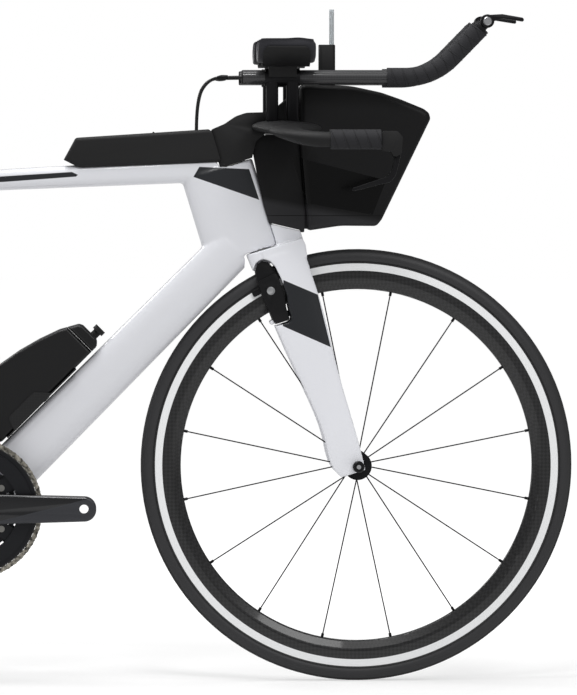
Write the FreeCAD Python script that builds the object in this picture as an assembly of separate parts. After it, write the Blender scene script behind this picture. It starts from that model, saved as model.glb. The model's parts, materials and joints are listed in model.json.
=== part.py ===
import FreeCAD, Part
import math
import os

Vector = FreeCAD.Vector

# A time trial bike in millimetres. +X is forward, +Y is the rider's left, +Z is up, and the origin lies
# on the ground midway between the axles.

# Wheels
BEAD_SEAT_RADIUS = 311.0
TYRE_WIDTH = 25.0
TYRE_WALL = 1.8
RIM_WIDTH = 23.0
RIM_INNER_WIDTH = 17.0
RIM_DEPTH = 43.0
RIM_LIP = 5.5
RIM_WALL = 2.0
BRAKE_TRACK = 14.0
RIM_NOSE_WIDTH = 9.0
SPOKE_RADIUS = 1.0
NIPPLE_RADIUS = 2.2
NIPPLE_LENGTH = 11.0
FRONT_SPOKE_PAIRS = 8
REAR_SPOKE_PAIRS = 10
SPOKE_HUB_SPREAD_DEG = 5.0
HUB_BORE_RADIUS = 6.0
RUNNING_CLEARANCE = 0.08
FIT_GAP = 0.4
BODY_GAP = 0.8
FRONT_AXLE_WIDTH = 100.0
REAR_AXLE_WIDTH = 130.0
HUB_BARREL_RADIUS = 10.0
FLANGE_THICKNESS = 3.6
FRONT_FLANGE_RADIUS = 22.0
FRONT_FLANGE_OFFSET = 35.0
REAR_FLANGE_RADIUS = 25.0
REAR_RIGHT_FLANGE_OFFSET = 16.5
REAR_LEFT_FLANGE_OFFSET = 36.0
HUB_END_RADIUS = 13.0
HUB_END_GAP = 2.0
SKEWER_NUT_RADIUS = 9.0
SKEWER_NUT_LENGTH = 14.0
QR_LEVER_LENGTH = 52.0
QR_LEVER_WIDTH = 15.0
QR_LEVER_THICKNESS = 6.0
QR_HEAD_RADIUS = 9.0
QR_HEAD_LENGTH = 13.0

# Frame geometry
CHAINSTAY_LENGTH = 405.0
BOTTOM_BRACKET_DROP = 64.0
FRONT_CENTRE = 597.0
HEAD_ANGLE_DEG = 73.0
FORK_RAKE = 45.0
AXLE_TO_CROWN = 364.0
HEAD_TUBE_LENGTH = 140.0
SEAT_ANGLE_DEG = 77.0
SEAT_TUBE_TOP = 535.0
HEAD_HALF_WIDTH = 22.0
HEAD_FRONT_RADIUS = 29.5
HEAD_BACK = 86.0
STEERER_RADIUS = 14.3
BEARING_RADIUS = 18.0
BEARING_HEIGHT = 8.0
STEM_SWEEP_RADIUS = 27.0
CROWN_SWEEP_RADIUS = 30.0
DOWN_TUBE_DEPTH_LOW = 81.0
DOWN_TUBE_DEPTH_HIGH = 70.0
DOWN_TUBE_HALF_WIDTH = 23.0
DOWN_TUBE_LENGTH = 575.0
DOWN_TUBE_ANGLE_DEG = 45.05
DOWN_TUBE_OFFSET = 4.0
TOP_TUBE_HALF_WIDTH = 17.5
TOP_TUBE_HEIGHT_FRONT = 39.0
TOP_TUBE_HEIGHT_REAR = 31.0
TOP_TUBE_FRONT_DROP = 9.0
TOP_TUBE_SETBACK = 18.0
TOP_TUBE_REAR_DROP = 22.0
TUBE_WALL = 2.5
SEAT_TUBE_HALF_WIDTH = 18.0
SEAT_TUBE_FRONT = 26.0
SEAT_TUBE_BACK = 36.0
STAY_HALF_WIDTH = 7.5
CHAINSTAY_HALF_HEIGHT = 15.0
SEATSTAY_HALF_HEIGHT = 12.0
CHAINSTAY_START_OFFSET = 25.0
SEATSTAY_START_OFFSET = 17.0
SEATSTAY_HEIGHT = 340.0
DROPOUT_THICKNESS = 6.0
DROPOUT_RADIUS = 20.0
TYRE_GAP = 6.0
WHEEL_SLOT_HALF_WIDTH = 17.5
BB_SHELL_RADIUS = 25.0
BB_SHELL_WIDTH = 86.5
BB_CUP_RADIUS = 20.6
BB_CUP_DEPTH = 11.0
SPINDLE_RADIUS = 12.0
SEATPOST_HALF_WIDTH = 11.0
SEATPOST_FRONT = 20.0
SEATPOST_BACK = 22.0
SEATPOST_INSERT = 110.0
SEATPOST_EXPOSED = 128.0

# Fork
FORK_LEG_TOP_OFFSET = 26.0
FORK_LEG_LOW_OFFSET = 55.2
FORK_LEG_TOP_HALF_WIDTH = 8.0
FORK_LEG_LOW_HALF_WIDTH = 4.8
CROWN_HALF_WIDTH = 33.0
BAYONET_HALF_WIDTH = 19.0

STEERER_TOP = 36.0
FORK_LEG_SHARES = (
    (0.96, 0.0604, 0.1185, 0.0), (0.92, 0.0604, 0.1180, 0.02), (0.72, 0.0676, 0.1126, 0.14),
    (0.514, 0.0747, 0.0956, 0.35), (0.327, 0.0843, 0.0777, 0.58), (0.143, 0.0887, 0.0709, 0.86),
    (0.03, 0.0850, 0.0700, 1.0), (-0.024, 0.0960, 0.0560, 1.0))
CROWN_SHARES = ((0.9985, -0.066), (0.9985, 0.184), (0.965, 0.1895), (0.915, 0.181), (0.915, -0.058))
BAYONET_SHARES = ((0.97, 0.0), (0.97, 0.187), (1.0295, 0.1865), (1.0945, 0.075), (1.0945, 0.0))

# Cockpit, placed from the top of the head tube
STEM_LENGTH = 82.4
STEM_HEIGHT = 80.0
STEM_REAR_SETBACK = 35.9
STEM_HALF_WIDTH = 23.0
BLADE_LENGTH = 95.0
BLADE_HEIGHT = 152.0
BLADE_FORWARD = 18.0
BLADE_DROP = 104.8
BOTTLE_NOSE_LENGTH = 203.8
BOTTLE_NOSE_HEIGHT = 226.8
BOTTLE_NOSE_FORWARD = 100.9
BOTTLE_NOSE_DROP = 104.0
BOTTLE_NOSE_HALF_WIDTH = 32.0
BOTTLE_NOSE_EDGE = 9.0
WING_HEIGHT = 56.8
WING_CHORD = 71.6
WING_THICKNESS = 20.0
BAR_HALF_WIDTH = 195.0
BAR_GRIP_HEIGHT = 36.8
BAR_TUBE_RADIUS = 12.0
GRIP_START = 140.0
GRIP_END = 217.6
GRIP_RADIUS = 15.2
LEVER_BODY_LENGTH = 31.5
LEVER_BODY_HEIGHT = 30.0
LEVER_BODY_WIDTH = 22.0
LEVER_REACH = 64.0
LEVER_DROP = 56.0
LEVER_THICKNESS = 9.0
LEVER_WIDTH = 8.0
LEVER_PIVOT_RADIUS = 3.0
RISER_REAR_FORWARD = 56.6
RISER_FRONT_FORWARD = 88.1
RISER_LENGTH_X = 18.7
RISER_HALF_WIDTH = 12.0
EXTENSION_HALF_SPAN = 62.0
EXTENSION_HEIGHT = 133.2
EXTENSION_REAR = 11.5
EXTENSION_CORNER = 304.1
EXTENSION_RISE_LENGTH = 104.0
EXTENSION_BEND_RADIUS = 100.0
EXTENSION_BEND_DEG = 45.6
EXTENSION_RADIUS = 11.1
EXTENSION_WALL = 1.6
WRAP_RADIUS = 14.6
WRAP_START = 234.0
CLAMP_LENGTH = 54.0
CLAMP_RADIUS = 14.0
CUP_FORWARD = 40.5
CUP_LENGTH = 73.0
CUP_HALF_WIDTH = 46.0
CUP_RISE = 28.0
CUP_THICKNESS = 3.0
PAD_THICKNESS = 14.0
PAD_OVERHANG = 11.5
CUP_BASE_HEIGHT = 2.0
STRAW_HOLDER_FORWARD = 131.3
STRAW_HOLDER_LENGTH = 25.6
STRAW_HOLDER_HALF_WIDTH = 12.0
STRAW_HOLDER_TOP = 184.4
STRAW_FORWARD = 151.6
STRAW_RADIUS = 3.7
STRAW_BORE_RADIUS = 2.7
STRAW_TOP = 239.0
STRAW_INSERT = 22.0
SHIFTER_BASE_LENGTH = 17.0
SHIFTER_BASE_RADIUS = 11.0
SHIFTER_PIVOT_RADIUS = 10.5
SHIFTER_PIVOT_WIDTH = 17.0
SHIFT_LEVER_LENGTH = 57.0
SHIFT_LEVER_THICKNESS = 8.0
SHIFT_LEVER_WIDTH = 12.0
CABLE_RADIUS = 2.5
CABLE_LEAD = 22.0
CABLE_BEND_RADIUS = 40.0
CABLE_PORT_FORWARD = -58.5
CABLE_PORT_SPAN = 7.0

BOTTLE_NOSE_SHARES = (
    (0.065, 0.0), (0.31, 0.033), (0.585, 0.031), (0.625, 0.075), (0.997, 0.765), (0.985, 0.805),
    (0.945, 0.833),
    (0.771, 0.897), (0.618, 0.945), (0.389, 0.989), (0.084, 1.0), (0.0, 1.0), (0.0, 0.62), (0.035, 0.25))
BOTTLE_NOSE_CORNER_SHARES = (0.02, 0.5, 0.05, 0.1, 0.04, 0.04, 0.1, 0.5, 0.5, 0.6, 0.5, 0.04, 0.1, 0.3)
BAR_SHARES = (
    (0.0, 0.2854, 1.0, 1.0, 1.0), (0.1949, 0.2854, 1.0, 1.0, 1.0), (0.4308, 0.3539, 0.96, 1.3687, 0.95),
    (0.6667, 0.386, 0.66, 0.9497, 1.0), (0.8615, 0.4274, 0.26, 0.5587, 1.15),
    (0.9744, 0.5331, 0.035, 0.3631, 1.2), (1.0, 0.625, 0.0, 0.324, 1.16))
BAR_TURNS_DEG = (0.0, 0.0, 0.0, 0.0, 40.0, 78.0, 90.0)
BAR_BEND_STATION = 3
STEM_SHARES = (
    (0.0, 0.655), (0.263, 0.771), (0.471, 0.918), (0.66, 0.985), (1.0, 0.995), (1.25, 1.1075), (1.44, 1.27),
    (1.6, 1.29), (1.58, 0.71), (1.0, 0.71), (1.0, 0.56), (0.84, 0.44), (0.72, -0.1), (0.2, -0.2))
STEM_CORNER_SHARES = (0.05, 0.3, 0.3, 0.3, 0.3, 0.3, 0.1, 0.05, 0.0, 0.0, 0.0, 0.2, 0.0, 0.0)
BLADE_SHARES = (
    (0.07, 0.98), (1.0, 0.983), (1.0, 0.369), (0.95, -0.01), (0.3, -0.06), (0.3, 0.2))
LEVER_BODY_BASE = 12.0
LEVER_BODY_SHARES = ((0.0, 0.25), (0.0, 1.25), (0.75, 1.25), (1.0, 0.95), (0.95, 0.1), (0.6, -0.1),
                     (0.45, 0.2))
LEVER_PIVOT_AHEAD = 20.2
LEVER_PIVOT_ABOVE = 18.1
LEVER_SLOT_BACK = 10.0
LEVER_SHARES = (
    (0.11, 0.12), (0.14, -0.12), (0.09, -0.36), (0.02, -0.66), (-0.1, -0.82), (-1.0, -1.08), (-1.01, -0.99),
    (-0.2, -0.68), (-0.07, -0.5), (-0.02, -0.2), (-0.1, -0.02), (-0.08, 0.12), (0.0, 0.15))
EXTENSION_PLUG = 8.0
CUP_OUTSET = 20.0
PAD_EDGE_SHARE = 1.35
SHIFT_LEVER_SHARES = (
    (-0.1, 0.08), (0.05, 0.17), (0.4, 0.19), (0.98, 0.09), (0.99, -0.02), (0.42, 0.07), (0.15, 0.0),
    (0.0, -0.1))
CABLE_PORT_SINK = 4.0

# Storage box on the top tube
BOX_LENGTH = 252.0
BOX_HEIGHT = 60.0
BOX_REAR_SETBACK = 264.6
BOX_DROP = 6.8
BOX_HALF_WIDTH = 20.5
BOX_EDGE = 6.0
LID_LENGTH = 112.0
LID_HALF_WIDTH = 14.5
LID_THICKNESS = 3.0
LID_CAVITY_DEPTH = 24.0

BOX_SHARES = ((0.0, 0.209), (0.074, 0.78), (0.889, 1.0), (0.95, 0.99), (1.05, 0.157), (0.099, 0.0))
BOX_CORNER_SHARES = (0.02, 0.1, 0.05, 0.0, 0.0, 0.3)
LID_INSET = 12.0
LID_RIM = 3.0

# Frame bottle and cage, placed along the down tube
BOTTLE_LENGTH = 226.0
BOTTLE_HEIGHT = 86.5
BOTTLE_START = 98.0
BOTTLE_BASE = 42.5
BOTTLE_HALF_WIDTH = 26.0
BOTTLE_EDGE = 5.0
BOTTLE_WALL = 1.6
SPOUT_ABOVE = 57.4
SPOUT_RADIUS = 6.5
SPOUT_LENGTH = 13.0
SPOUT_FLANGE_RADIUS = 9.5
CAGE_WALL = 2.2
CAGE_RISE = 20.0
CAGE_START = 118.0
CAGE_LENGTH = 150.0
CAGE_BOSS_FIRST = 20.0
CAGE_BOSS_PITCH = 64.0
CAGE_BOSS_RADIUS = 6.0
BOTTLE_BODY_SHARES = (
    (0.004, 0.064), (0.044, 0.0), (0.912, 0.0), (0.912, 0.612), (0.866, 0.681), (0.723, 0.815), (0.57, 0.924),
    (0.403, 1.0), (0.23, 1.0), (0.133, 0.942), (0.088, 0.803))
BOTTLE_BODY_CORNER_SHARES = (0.08, 0.08, 0.0, 0.0, 0.2, 0.3, 0.3, 0.3, 0.3, 0.15, 0.15)
BOTTLE_CAP_SHARES = (
    (0.916, 0.0), (0.965, 0.0), (1.0, 0.087), (1.0, 0.434), (0.987, 0.503), (0.916, 0.607))
BOTTLE_CAP_CORNER_SHARES = (0.0, 0.1, 0.1, 0.1, 0.1, 0.0)

# Drivetrain
CHAIN_PITCH = 12.7
ROLLER_RADIUS = 3.85
ROOT_CLEARANCE = 0.2
CHAIN_INNER_HALF = 1.1
PLATE_THICKNESS = 0.75
PLATE_GAP = 0.06
PLATE_HALF_HEIGHT = 4.1
PIN_RADIUS = 1.7
PIN_CLEARANCE = 0.2
SPROCKET_THICKNESS = 1.8
SPROCKET_PITCH = 3.74
SPROCKET_OUTER_OFFSET = 60.0
CASSETTE_TEETH = (11, 12, 13, 14, 15, 17, 19, 21, 23, 25, 28)
DRIVE_SPROCKET = 3
BIG_RING_TEETH = 52
SMALL_RING_TEETH = 36
PULLEY_TEETH = 11
RING_SPACING = 7.5
BIG_RING_INNER_RADIUS = 71.0
SMALL_RING_INNER_RADIUS = 61.0
RING_COVER_THICKNESS = 5.0
FREEHUB_RADIUS = 16.5
TOOTH_RISE = 3.4
TOOTH_TIP_HALF = 1.1
TOOTH_ROOT_HALF = 3.2
CRANK_LENGTH = 172.5
CRANK_END_RADIUS = 19.0
CRANK_HUB_RADIUS = 25.0
CRANK_INNER = 58.0
CRANK_OUTER = 73.0
CRANK_EDGE = 5.0
PEDAL_THREAD_RADIUS = 7.1
SPIDER_ARM_WIDTH = 23.0
RING_BOLT_CIRCLE = 55.0
RING_BOLT_RADIUS = 5.0
GUIDE_DROP = 90.0
GUIDE_FORWARD = 8.0
CAGE_ARM = 56.0
HANGER_DROP = 30.0
HANGER_BACK = 8.0
KNUCKLE_RADIUS = 10.0
KNUCKLE_WIDTH = 11.0
KNUCKLE_REACH = 62.0
DERAILLEUR_GAP = 0.5
CAGE_PLATE_OFFSET = 5.6
CAGE_PLATE_THICKNESS = 1.8
CAGE_PLATE_HALF_WIDTH = 10.0
PULLEY_THICKNESS = 1.8
PULLEY_BOLT_RADIUS = 3.0
FRONT_CAGE_GAP = 3.2
FRONT_CAGE_RISE = 1.2
FRONT_CAGE_START_DEG = 76.0
FRONT_CAGE_END_DEG = 114.0
FRONT_MOUNT_DEG = 100.0
FRONT_MOUNT_LENGTH = 26.0
FRONT_PIVOT_RISE = 6.0
FRONT_BARREL_RADIUS = 4.0
FRONT_BARREL_SHARE = 0.6
FRONT_ARM_SHARE = 0.5
FRONT_EAR_SHARE = 0.8
CAGE_LOW_DEG = -100.0
CAGE_HIGH_DEG = -35.0
RING_COVER_INSET = 12.0
SPIDER_ANGLES_DEG = (35.0, 145.0, 215.0, 325.0)
FRONT_CAGE_WALL = 1.4
FRONT_CAGE_HEIGHT = 24.0

# Brakes, drawn along the wheel radius
BRAKE_PIVOT_RADIUS = 258.0
BRAKE_ARM_LENGTH = 100.0
BRAKE_ARM_WIDTH = 38.0
BRAKE_ARM_INNER = 16.6
BRAKE_ARM_OUTER = 23.5
BRAKE_ARM_FULL = 29.0
BRAKE_STUD_OFFSET = 22.6
PAD_BOLT_RADIUS = 5.9
PAD_BOLT_SINK = 3.0
BRAKE_SHARES = (
    (0.92, -0.155), (0.989, 0.03), (0.996, 0.266), (0.934, 0.458), (0.823, 0.54), (0.614, 0.54), (0.37, 0.45),
    (0.175, 0.284), (0.015, 0.213), (-0.006, 0.14), (0.03, -0.455), (0.203, -0.41), (0.481, -0.41),
    (0.815, -0.247))
BRAKE_THICK_SHARES = (
    (0.74, 0.53), (0.614, 0.53), (0.37, 0.44), (0.175, 0.274), (0.015, 0.2), (0.005, 0.14), (0.04, -0.44),
    (0.203, -0.4), (0.481, -0.4), (0.74, -0.28))
BRAKE_PAD_GAP = 2.4
BRAKE_PAD_LENGTH = 46.0
BRAKE_PAD_HEIGHT = 9.0
BRAKE_STUD_RADIUS = 4.0
FRONT_BRAKE_ANGLE_DEG = 116.5
REAR_BRAKE_ANGLE_DEG = -18.0
BRAKE_NOTCH_GAP = 2.6

# Saddle
SADDLE_LENGTH = 262.0
SADDLE_HALF_WIDTH = 66.0
SADDLE_HEIGHT = 44.0
SADDLE_NOSE_FORWARD = 150.0
SADDLE_RISE = 52.0
RAIL_RADIUS = 3.5
RAIL_SPAN = 22.0
RAIL_LENGTH = 150.0
RAIL_NOSE_SHARE = 0.75
SADDLE_CHANNEL = 8.0
SADDLE_SHARES = (
    (0.0, 0.22, 0.55), (0.06, 0.33, 0.85), (0.35, 0.4, 0.95), (0.62, 0.62, 1.0), (0.86, 1.0, 1.02),
    (0.97, 0.92, 0.9),
    (1.0, 0.7, 0.6))
BOLT_RADIUS = 3.0
BOLT_HEAD_RADIUS = 4.8
BOLT_HEAD_HEIGHT = 3.2

# Derived places
TYRE_RADIUS = BEAD_SEAT_RADIUS + TYRE_WIDTH
CHAINSTAY_RUN = math.sqrt(CHAINSTAY_LENGTH ** 2 - BOTTOM_BRACKET_DROP ** 2)
WHEELBASE = FRONT_CENTRE + CHAINSTAY_RUN
FRONT_AXLE = Vector(WHEELBASE / 2, 0, TYRE_RADIUS)
REAR_AXLE = Vector(-WHEELBASE / 2, 0, TYRE_RADIUS)
BOTTOM_BRACKET = Vector(FRONT_AXLE.x - FRONT_CENTRE, 0, TYRE_RADIUS - BOTTOM_BRACKET_DROP)
HEAD_ANGLE = math.radians(HEAD_ANGLE_DEG)
STEER_UP = Vector(-math.cos(HEAD_ANGLE), 0, math.sin(HEAD_ANGLE))
STEER_FORE = Vector(math.sin(HEAD_ANGLE), 0, math.cos(HEAD_ANGLE))
STEER_FOOT = FRONT_AXLE - STEER_FORE * FORK_RAKE
HEAD_TOP = AXLE_TO_CROWN + HEAD_TUBE_LENGTH
SIDE = Vector(0, 1, 0)
UP = Vector(0, 0, 1)
FORE = Vector(1, 0, 0)
CHAIN_Y = -(SPROCKET_OUTER_OFFSET - DRIVE_SPROCKET * SPROCKET_PITCH)
RIM_OUTER_RADIUS = BEAD_SEAT_RADIUS + RIM_LIP


def steer(along, ahead, left=0):
    """A point given along and ahead of the steering axis."""
    return STEER_FOOT + STEER_UP * along + STEER_FORE * ahead + SIDE * left


COCKPIT = steer(HEAD_TOP, 0)


def cockpit(ahead, above, left=0):
    """A point given level from the top of the head tube."""
    return COCKPIT + Vector(ahead, left, above)


def corner_wire(points, radii):
    """A closed wire through the points, with each corner rounded by an arc."""
    count = len(points)
    starts = []
    mids = []
    ends = []
    for index, corner in enumerate(points):
        radius = radii[index] if isinstance(radii, (list, tuple)) else radii
        back = points[index - 1] - corner
        ahead = points[(index + 1) % count] - corner
        half_angle = back.getAngle(ahead) / 2
        shorter = min(back.Length, ahead.Length) * 0.49
        reach = min(radius / math.tan(half_angle), shorter)
        back.normalize()
        ahead.normalize()
        starts.append(corner + back * reach)
        ends.append(corner + ahead * reach)
        middle = back + ahead
        if reach > 0 and middle.Length > 1e-6:
            middle.normalize()
            true_radius = reach * math.tan(half_angle)
            mids.append(corner + middle * (true_radius / math.sin(half_angle) - true_radius))
        else:
            mids.append(None)
    edges = []
    for index in range(count):
        if mids[index] is not None:
            edges.append(Part.Arc(starts[index], mids[index], ends[index]).toShape())
        following = starts[(index + 1) % count]
        if (following - ends[index]).Length > 1e-6:
            edges.append(Part.LineSegment(ends[index], following).toShape())
    return Part.Wire(edges)


def slab(points, radii, low, high):
    """A flat body with the given outline in the plane of the bike, from y = low to y = high."""
    placed = [Vector(point.x, low, point.z) for point in points]
    return Part.Face(corner_wire(placed, radii)).extrude(SIDE * (high - low))


def share_points(origin, along, up, length, height, shares):
    """Outline points given as shares of a length and a height."""
    return [origin + along * (length * u) + up * (height * v) for u, v in shares]


def soft_section(centre, fore, side, half_width, front, back, front_power=2.0, back_power=2.0):
    """A closed smooth section, squarer where its power is higher."""
    points = []
    steps = 24
    for step in range(steps):
        angle = 2 * math.pi * step / steps
        along = math.cos(angle)
        across = math.sin(angle)
        power = front_power if along >= 0 else back_power
        reach = front if along >= 0 else back
        along_share = math.copysign(abs(along) ** (2 / power), along)
        across_share = math.copysign(abs(across) ** (2 / power), across)
        points.append(centre + fore * (reach * along_share) + side * (half_width * across_share))
    curve = Part.BSplineCurve()
    curve.interpolate(points, PeriodicFlag=True)
    return Part.Wire(curve.toShape())


def loft(sections):
    return Part.makeLoft(sections, True, False)


def rod(start, end, radius):
    direction = end - start
    return Part.makeCylinder(radius, direction.Length, start, direction)


def disc(centre, radius, low, high):
    """A round body about a sideways axis, from y = low to y = high."""
    return Part.makeCylinder(radius, high - low, Vector(centre.x, low, centre.z), SIDE)


def steer_drum(radius, low, high):
    """A round body about the steering axis."""
    return Part.makeCylinder(radius, high - low, steer(low, 0), STEER_UP)


def turned(centre, profile, radii=0):
    """A body turned about a sideways axis from (radius, y) points."""
    wire = corner_wire([Vector(radius, y, 0) for radius, y in profile], radii)
    body = Part.Face(wire).revolve(Vector(0, 0, 0), SIDE, 360)
    body.translate(centre)
    return body


def mirrored(body):
    return body.mirror(Vector(0, 0, 0), SIDE)


def both_sides(body):
    return [body, mirrored(body)]


def fused(bodies):
    result = bodies[0]
    for body in bodies[1:]:
        result = result.fuse(body)
    return result


def steer_box(low, high, back, front, half_width):
    """A box squared to the steering axis."""
    points = [steer(low, back), steer(low, front), steer(high, front), steer(high, back)]
    return slab(points, 0, -half_width, half_width)


def pipe(path, profile_centre, direction, radius):
    circle = Part.Wire(Part.Circle(profile_centre, direction, radius).toShape())
    return path.makePipeShell([circle], True, True)


def bent_path(points, radius):
    """An open path of straight runs joined by arcs."""
    edges = []
    last = points[0]
    for index in range(1, len(points) - 1):
        corner = points[index]
        back = points[index - 1] - corner
        ahead = points[index + 1] - corner
        half_angle = back.getAngle(ahead) / 2
        reach = radius / math.tan(half_angle)
        back.normalize()
        ahead.normalize()
        start = corner + back * reach
        end = corner + ahead * reach
        middle = back + ahead
        middle.normalize()
        top = corner + middle * (radius / math.sin(half_angle) - radius)
        edges.append(Part.LineSegment(last, start).toShape())
        edges.append(Part.Arc(start, top, end).toShape())
        last = end
    edges.append(Part.LineSegment(last, points[-1]).toShape())
    return Part.Wire(edges)


NODES = {}


def keep(name, bodies):
    """Record a node: one body or a group of bodies."""
    if isinstance(bodies, list):
        NODES[name] = Part.makeCompound(bodies)
    else:
        NODES[name] = bodies


# Wheels
def tyre(centre):
    lip = RIM_OUTER_RADIUS + FIT_GAP
    half_bead = RIM_INNER_WIDTH / 2 - FIT_GAP
    half = TYRE_WIDTH / 2
    middle = TYRE_RADIUS - half
    shoulder = math.sqrt(half ** 2 - (middle - lip) ** 2)
    inner = half - TYRE_WALL
    bead = BEAD_SEAT_RADIUS + FIT_GAP
    in_bead = half_bead - TYRE_WALL
    in_shoulder = middle - math.sqrt(inner ** 2 - in_bead ** 2)
    edges = [
        Part.LineSegment(Vector(bead, in_bead, 0), Vector(bead, half_bead, 0)).toShape(),
        Part.LineSegment(Vector(bead, half_bead, 0), Vector(lip, half_bead, 0)).toShape(),
        Part.LineSegment(Vector(lip, half_bead, 0), Vector(lip, shoulder, 0)).toShape(),
        Part.Arc(Vector(lip, shoulder, 0), Vector(TYRE_RADIUS, 0, 0), Vector(lip, -shoulder, 0)).toShape(),
        Part.LineSegment(Vector(lip, -shoulder, 0), Vector(lip, -half_bead, 0)).toShape(),
        Part.LineSegment(Vector(lip, -half_bead, 0), Vector(bead, -half_bead, 0)).toShape(),
        Part.LineSegment(Vector(bead, -half_bead, 0), Vector(bead, -in_bead, 0)).toShape(),
        Part.LineSegment(Vector(bead, -in_bead, 0), Vector(in_shoulder, -in_bead, 0)).toShape(),
        Part.Arc(Vector(in_shoulder, -in_bead, 0), Vector(middle + inner, 0, 0),
                 Vector(in_shoulder, in_bead, 0)).toShape(),
        Part.LineSegment(Vector(in_shoulder, in_bead, 0), Vector(bead, in_bead, 0)).toShape(),
    ]
    body = Part.Face(Part.Wire(edges)).revolve(Vector(0, 0, 0), SIDE, 360)
    body.translate(centre)
    return body


def rim(centre, nipples):
    half = RIM_WIDTH / 2
    half_in = RIM_INNER_WIDTH / 2
    bed = BEAD_SEAT_RADIUS - RIM_WALL
    track = RIM_OUTER_RADIUS - BRAKE_TRACK
    nose = RIM_OUTER_RADIUS - RIM_DEPTH
    waist = (track + nose) / 2
    outer = [
        (RIM_OUTER_RADIUS, half_in), (RIM_OUTER_RADIUS, half), (track, half), (waist, half),
        (nose, RIM_NOSE_WIDTH / 2), (nose, -RIM_NOSE_WIDTH / 2), (waist, -half), (track, -half),
        (RIM_OUTER_RADIUS, -half), (RIM_OUTER_RADIUS, -half_in), (BEAD_SEAT_RADIUS, -half_in),
        (BEAD_SEAT_RADIUS, half_in),
    ]
    outer_radii = [0, 0, 0, RIM_DEPTH / 4, RIM_WALL * 2, RIM_WALL * 2, RIM_DEPTH / 4, 0, 0, 0, 0, 0]
    inner_half = half - RIM_WALL
    inner_nose = nose + RIM_WALL * 1.5
    inner = [
        (bed, inner_half), (waist, inner_half), (inner_nose, RIM_NOSE_WIDTH / 3),
        (inner_nose, -RIM_NOSE_WIDTH / 3), (waist, -inner_half), (bed, -inner_half),
    ]
    body = turned(centre, outer, outer_radii).cut(turned(centre, inner))
    return body.cut(Part.makeCompound(nipples))


def spoke_set(centre, pairs, first, second):
    """Paired radial spokes: each flange is (offset y, radius)."""
    spokes = []
    nipples = []
    spread = math.radians(SPOKE_HUB_SPREAD_DEG)
    half_step = math.pi / pairs / 2
    outer = RIM_OUTER_RADIUS - RIM_DEPTH
    for pair in range(pairs):
        angle = 2 * math.pi * pair / pairs
        for flange, sign in ((first, -1), (second, 1)):
            hub_angle = angle + sign * spread
            rim_angle = angle + sign * half_step
            hub_radius = flange[1]
            start = centre + Vector(math.cos(hub_angle) * hub_radius, flange[0],
                                    math.sin(hub_angle) * hub_radius)
            end = centre + Vector(math.cos(rim_angle) * outer, 0, math.sin(rim_angle) * outer)
            run = end - start
            run.normalize()
            nipple_start = end - run * (NIPPLE_LENGTH / 2)
            nipple_end = end + run * (NIPPLE_LENGTH / 2)
            spokes.append(rod(start, nipple_start, SPOKE_RADIUS))
            nipples.append(rod(nipple_start, nipple_end, NIPPLE_RADIUS))
    return spokes, nipples


def hub(centre, right, left, flange_radius, half_width):
    """Hub shell with a flange at y = -right and one at y = left."""
    half_flange = FLANGE_THICKNESS / 2
    end = half_width - HUB_END_GAP
    right_end = min(end, right + half_flange + FLANGE_THICKNESS)
    profile = [
        (HUB_BORE_RADIUS, -right_end), (HUB_END_RADIUS, -right_end), (HUB_END_RADIUS, -right - half_flange),
        (flange_radius, -right - half_flange), (flange_radius, -right + half_flange),
        (HUB_BARREL_RADIUS, -right + FLANGE_THICKNESS * 2), (HUB_BARREL_RADIUS, left - FLANGE_THICKNESS * 2),
        (flange_radius, left - half_flange), (flange_radius, left + half_flange),
        (HUB_END_RADIUS, left + half_flange), (HUB_END_RADIUS, end), (HUB_BORE_RADIUS, end),
    ]
    return turned(centre, profile)


front_spokes, front_nipples = spoke_set(
    FRONT_AXLE, FRONT_SPOKE_PAIRS, (-FRONT_FLANGE_OFFSET, FRONT_FLANGE_RADIUS),
    (FRONT_FLANGE_OFFSET, FRONT_FLANGE_RADIUS))
keep("front_tyre", tyre(FRONT_AXLE))
keep("front_rim", rim(FRONT_AXLE, front_nipples))
keep("front_spokes", front_spokes + front_nipples)
keep("front_hub", hub(FRONT_AXLE, FRONT_FLANGE_OFFSET, FRONT_FLANGE_OFFSET, FRONT_FLANGE_RADIUS,
                      FRONT_AXLE_WIDTH / 2))
rear_spokes, rear_nipples = spoke_set(
    REAR_AXLE, REAR_SPOKE_PAIRS, (-REAR_RIGHT_FLANGE_OFFSET, REAR_FLANGE_RADIUS),
    (REAR_LEFT_FLANGE_OFFSET, REAR_FLANGE_RADIUS))
keep("rear_tyre", tyre(REAR_AXLE))
keep("rear_rim", rim(REAR_AXLE, rear_nipples))
keep("rear_spokes", rear_spokes + rear_nipples)
keep("rear_hub", hub(REAR_AXLE, REAR_RIGHT_FLANGE_OFFSET, REAR_LEFT_FLANGE_OFFSET, REAR_FLANGE_RADIUS,
                     REAR_AXLE_WIDTH / 2))


# Frame
SEAT_ANGLE = math.radians(SEAT_ANGLE_DEG)
SEAT_UP = Vector(-math.cos(SEAT_ANGLE), 0, math.sin(SEAT_ANGLE))
SEAT_FORE = Vector(math.sin(SEAT_ANGLE), 0, math.cos(SEAT_ANGLE))
DOWN_ANGLE = math.radians(DOWN_TUBE_ANGLE_DEG)
DOWN_ALONG = Vector(math.cos(DOWN_ANGLE), 0, math.sin(DOWN_ANGLE))
DOWN_UP = Vector(-math.sin(DOWN_ANGLE), 0, math.cos(DOWN_ANGLE))
DOWN_START = BOTTOM_BRACKET - UP * DOWN_TUBE_OFFSET


def seat(along, ahead=0, left=0):
    """A point given along and ahead of the seat tube line."""
    return BOTTOM_BRACKET + SEAT_UP * along + SEAT_FORE * ahead + SIDE * left


def down(along, above, left=0):
    """A point given along and above the down tube line."""
    return DOWN_START + DOWN_ALONG * along + DOWN_UP * above + SIDE * left


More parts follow.
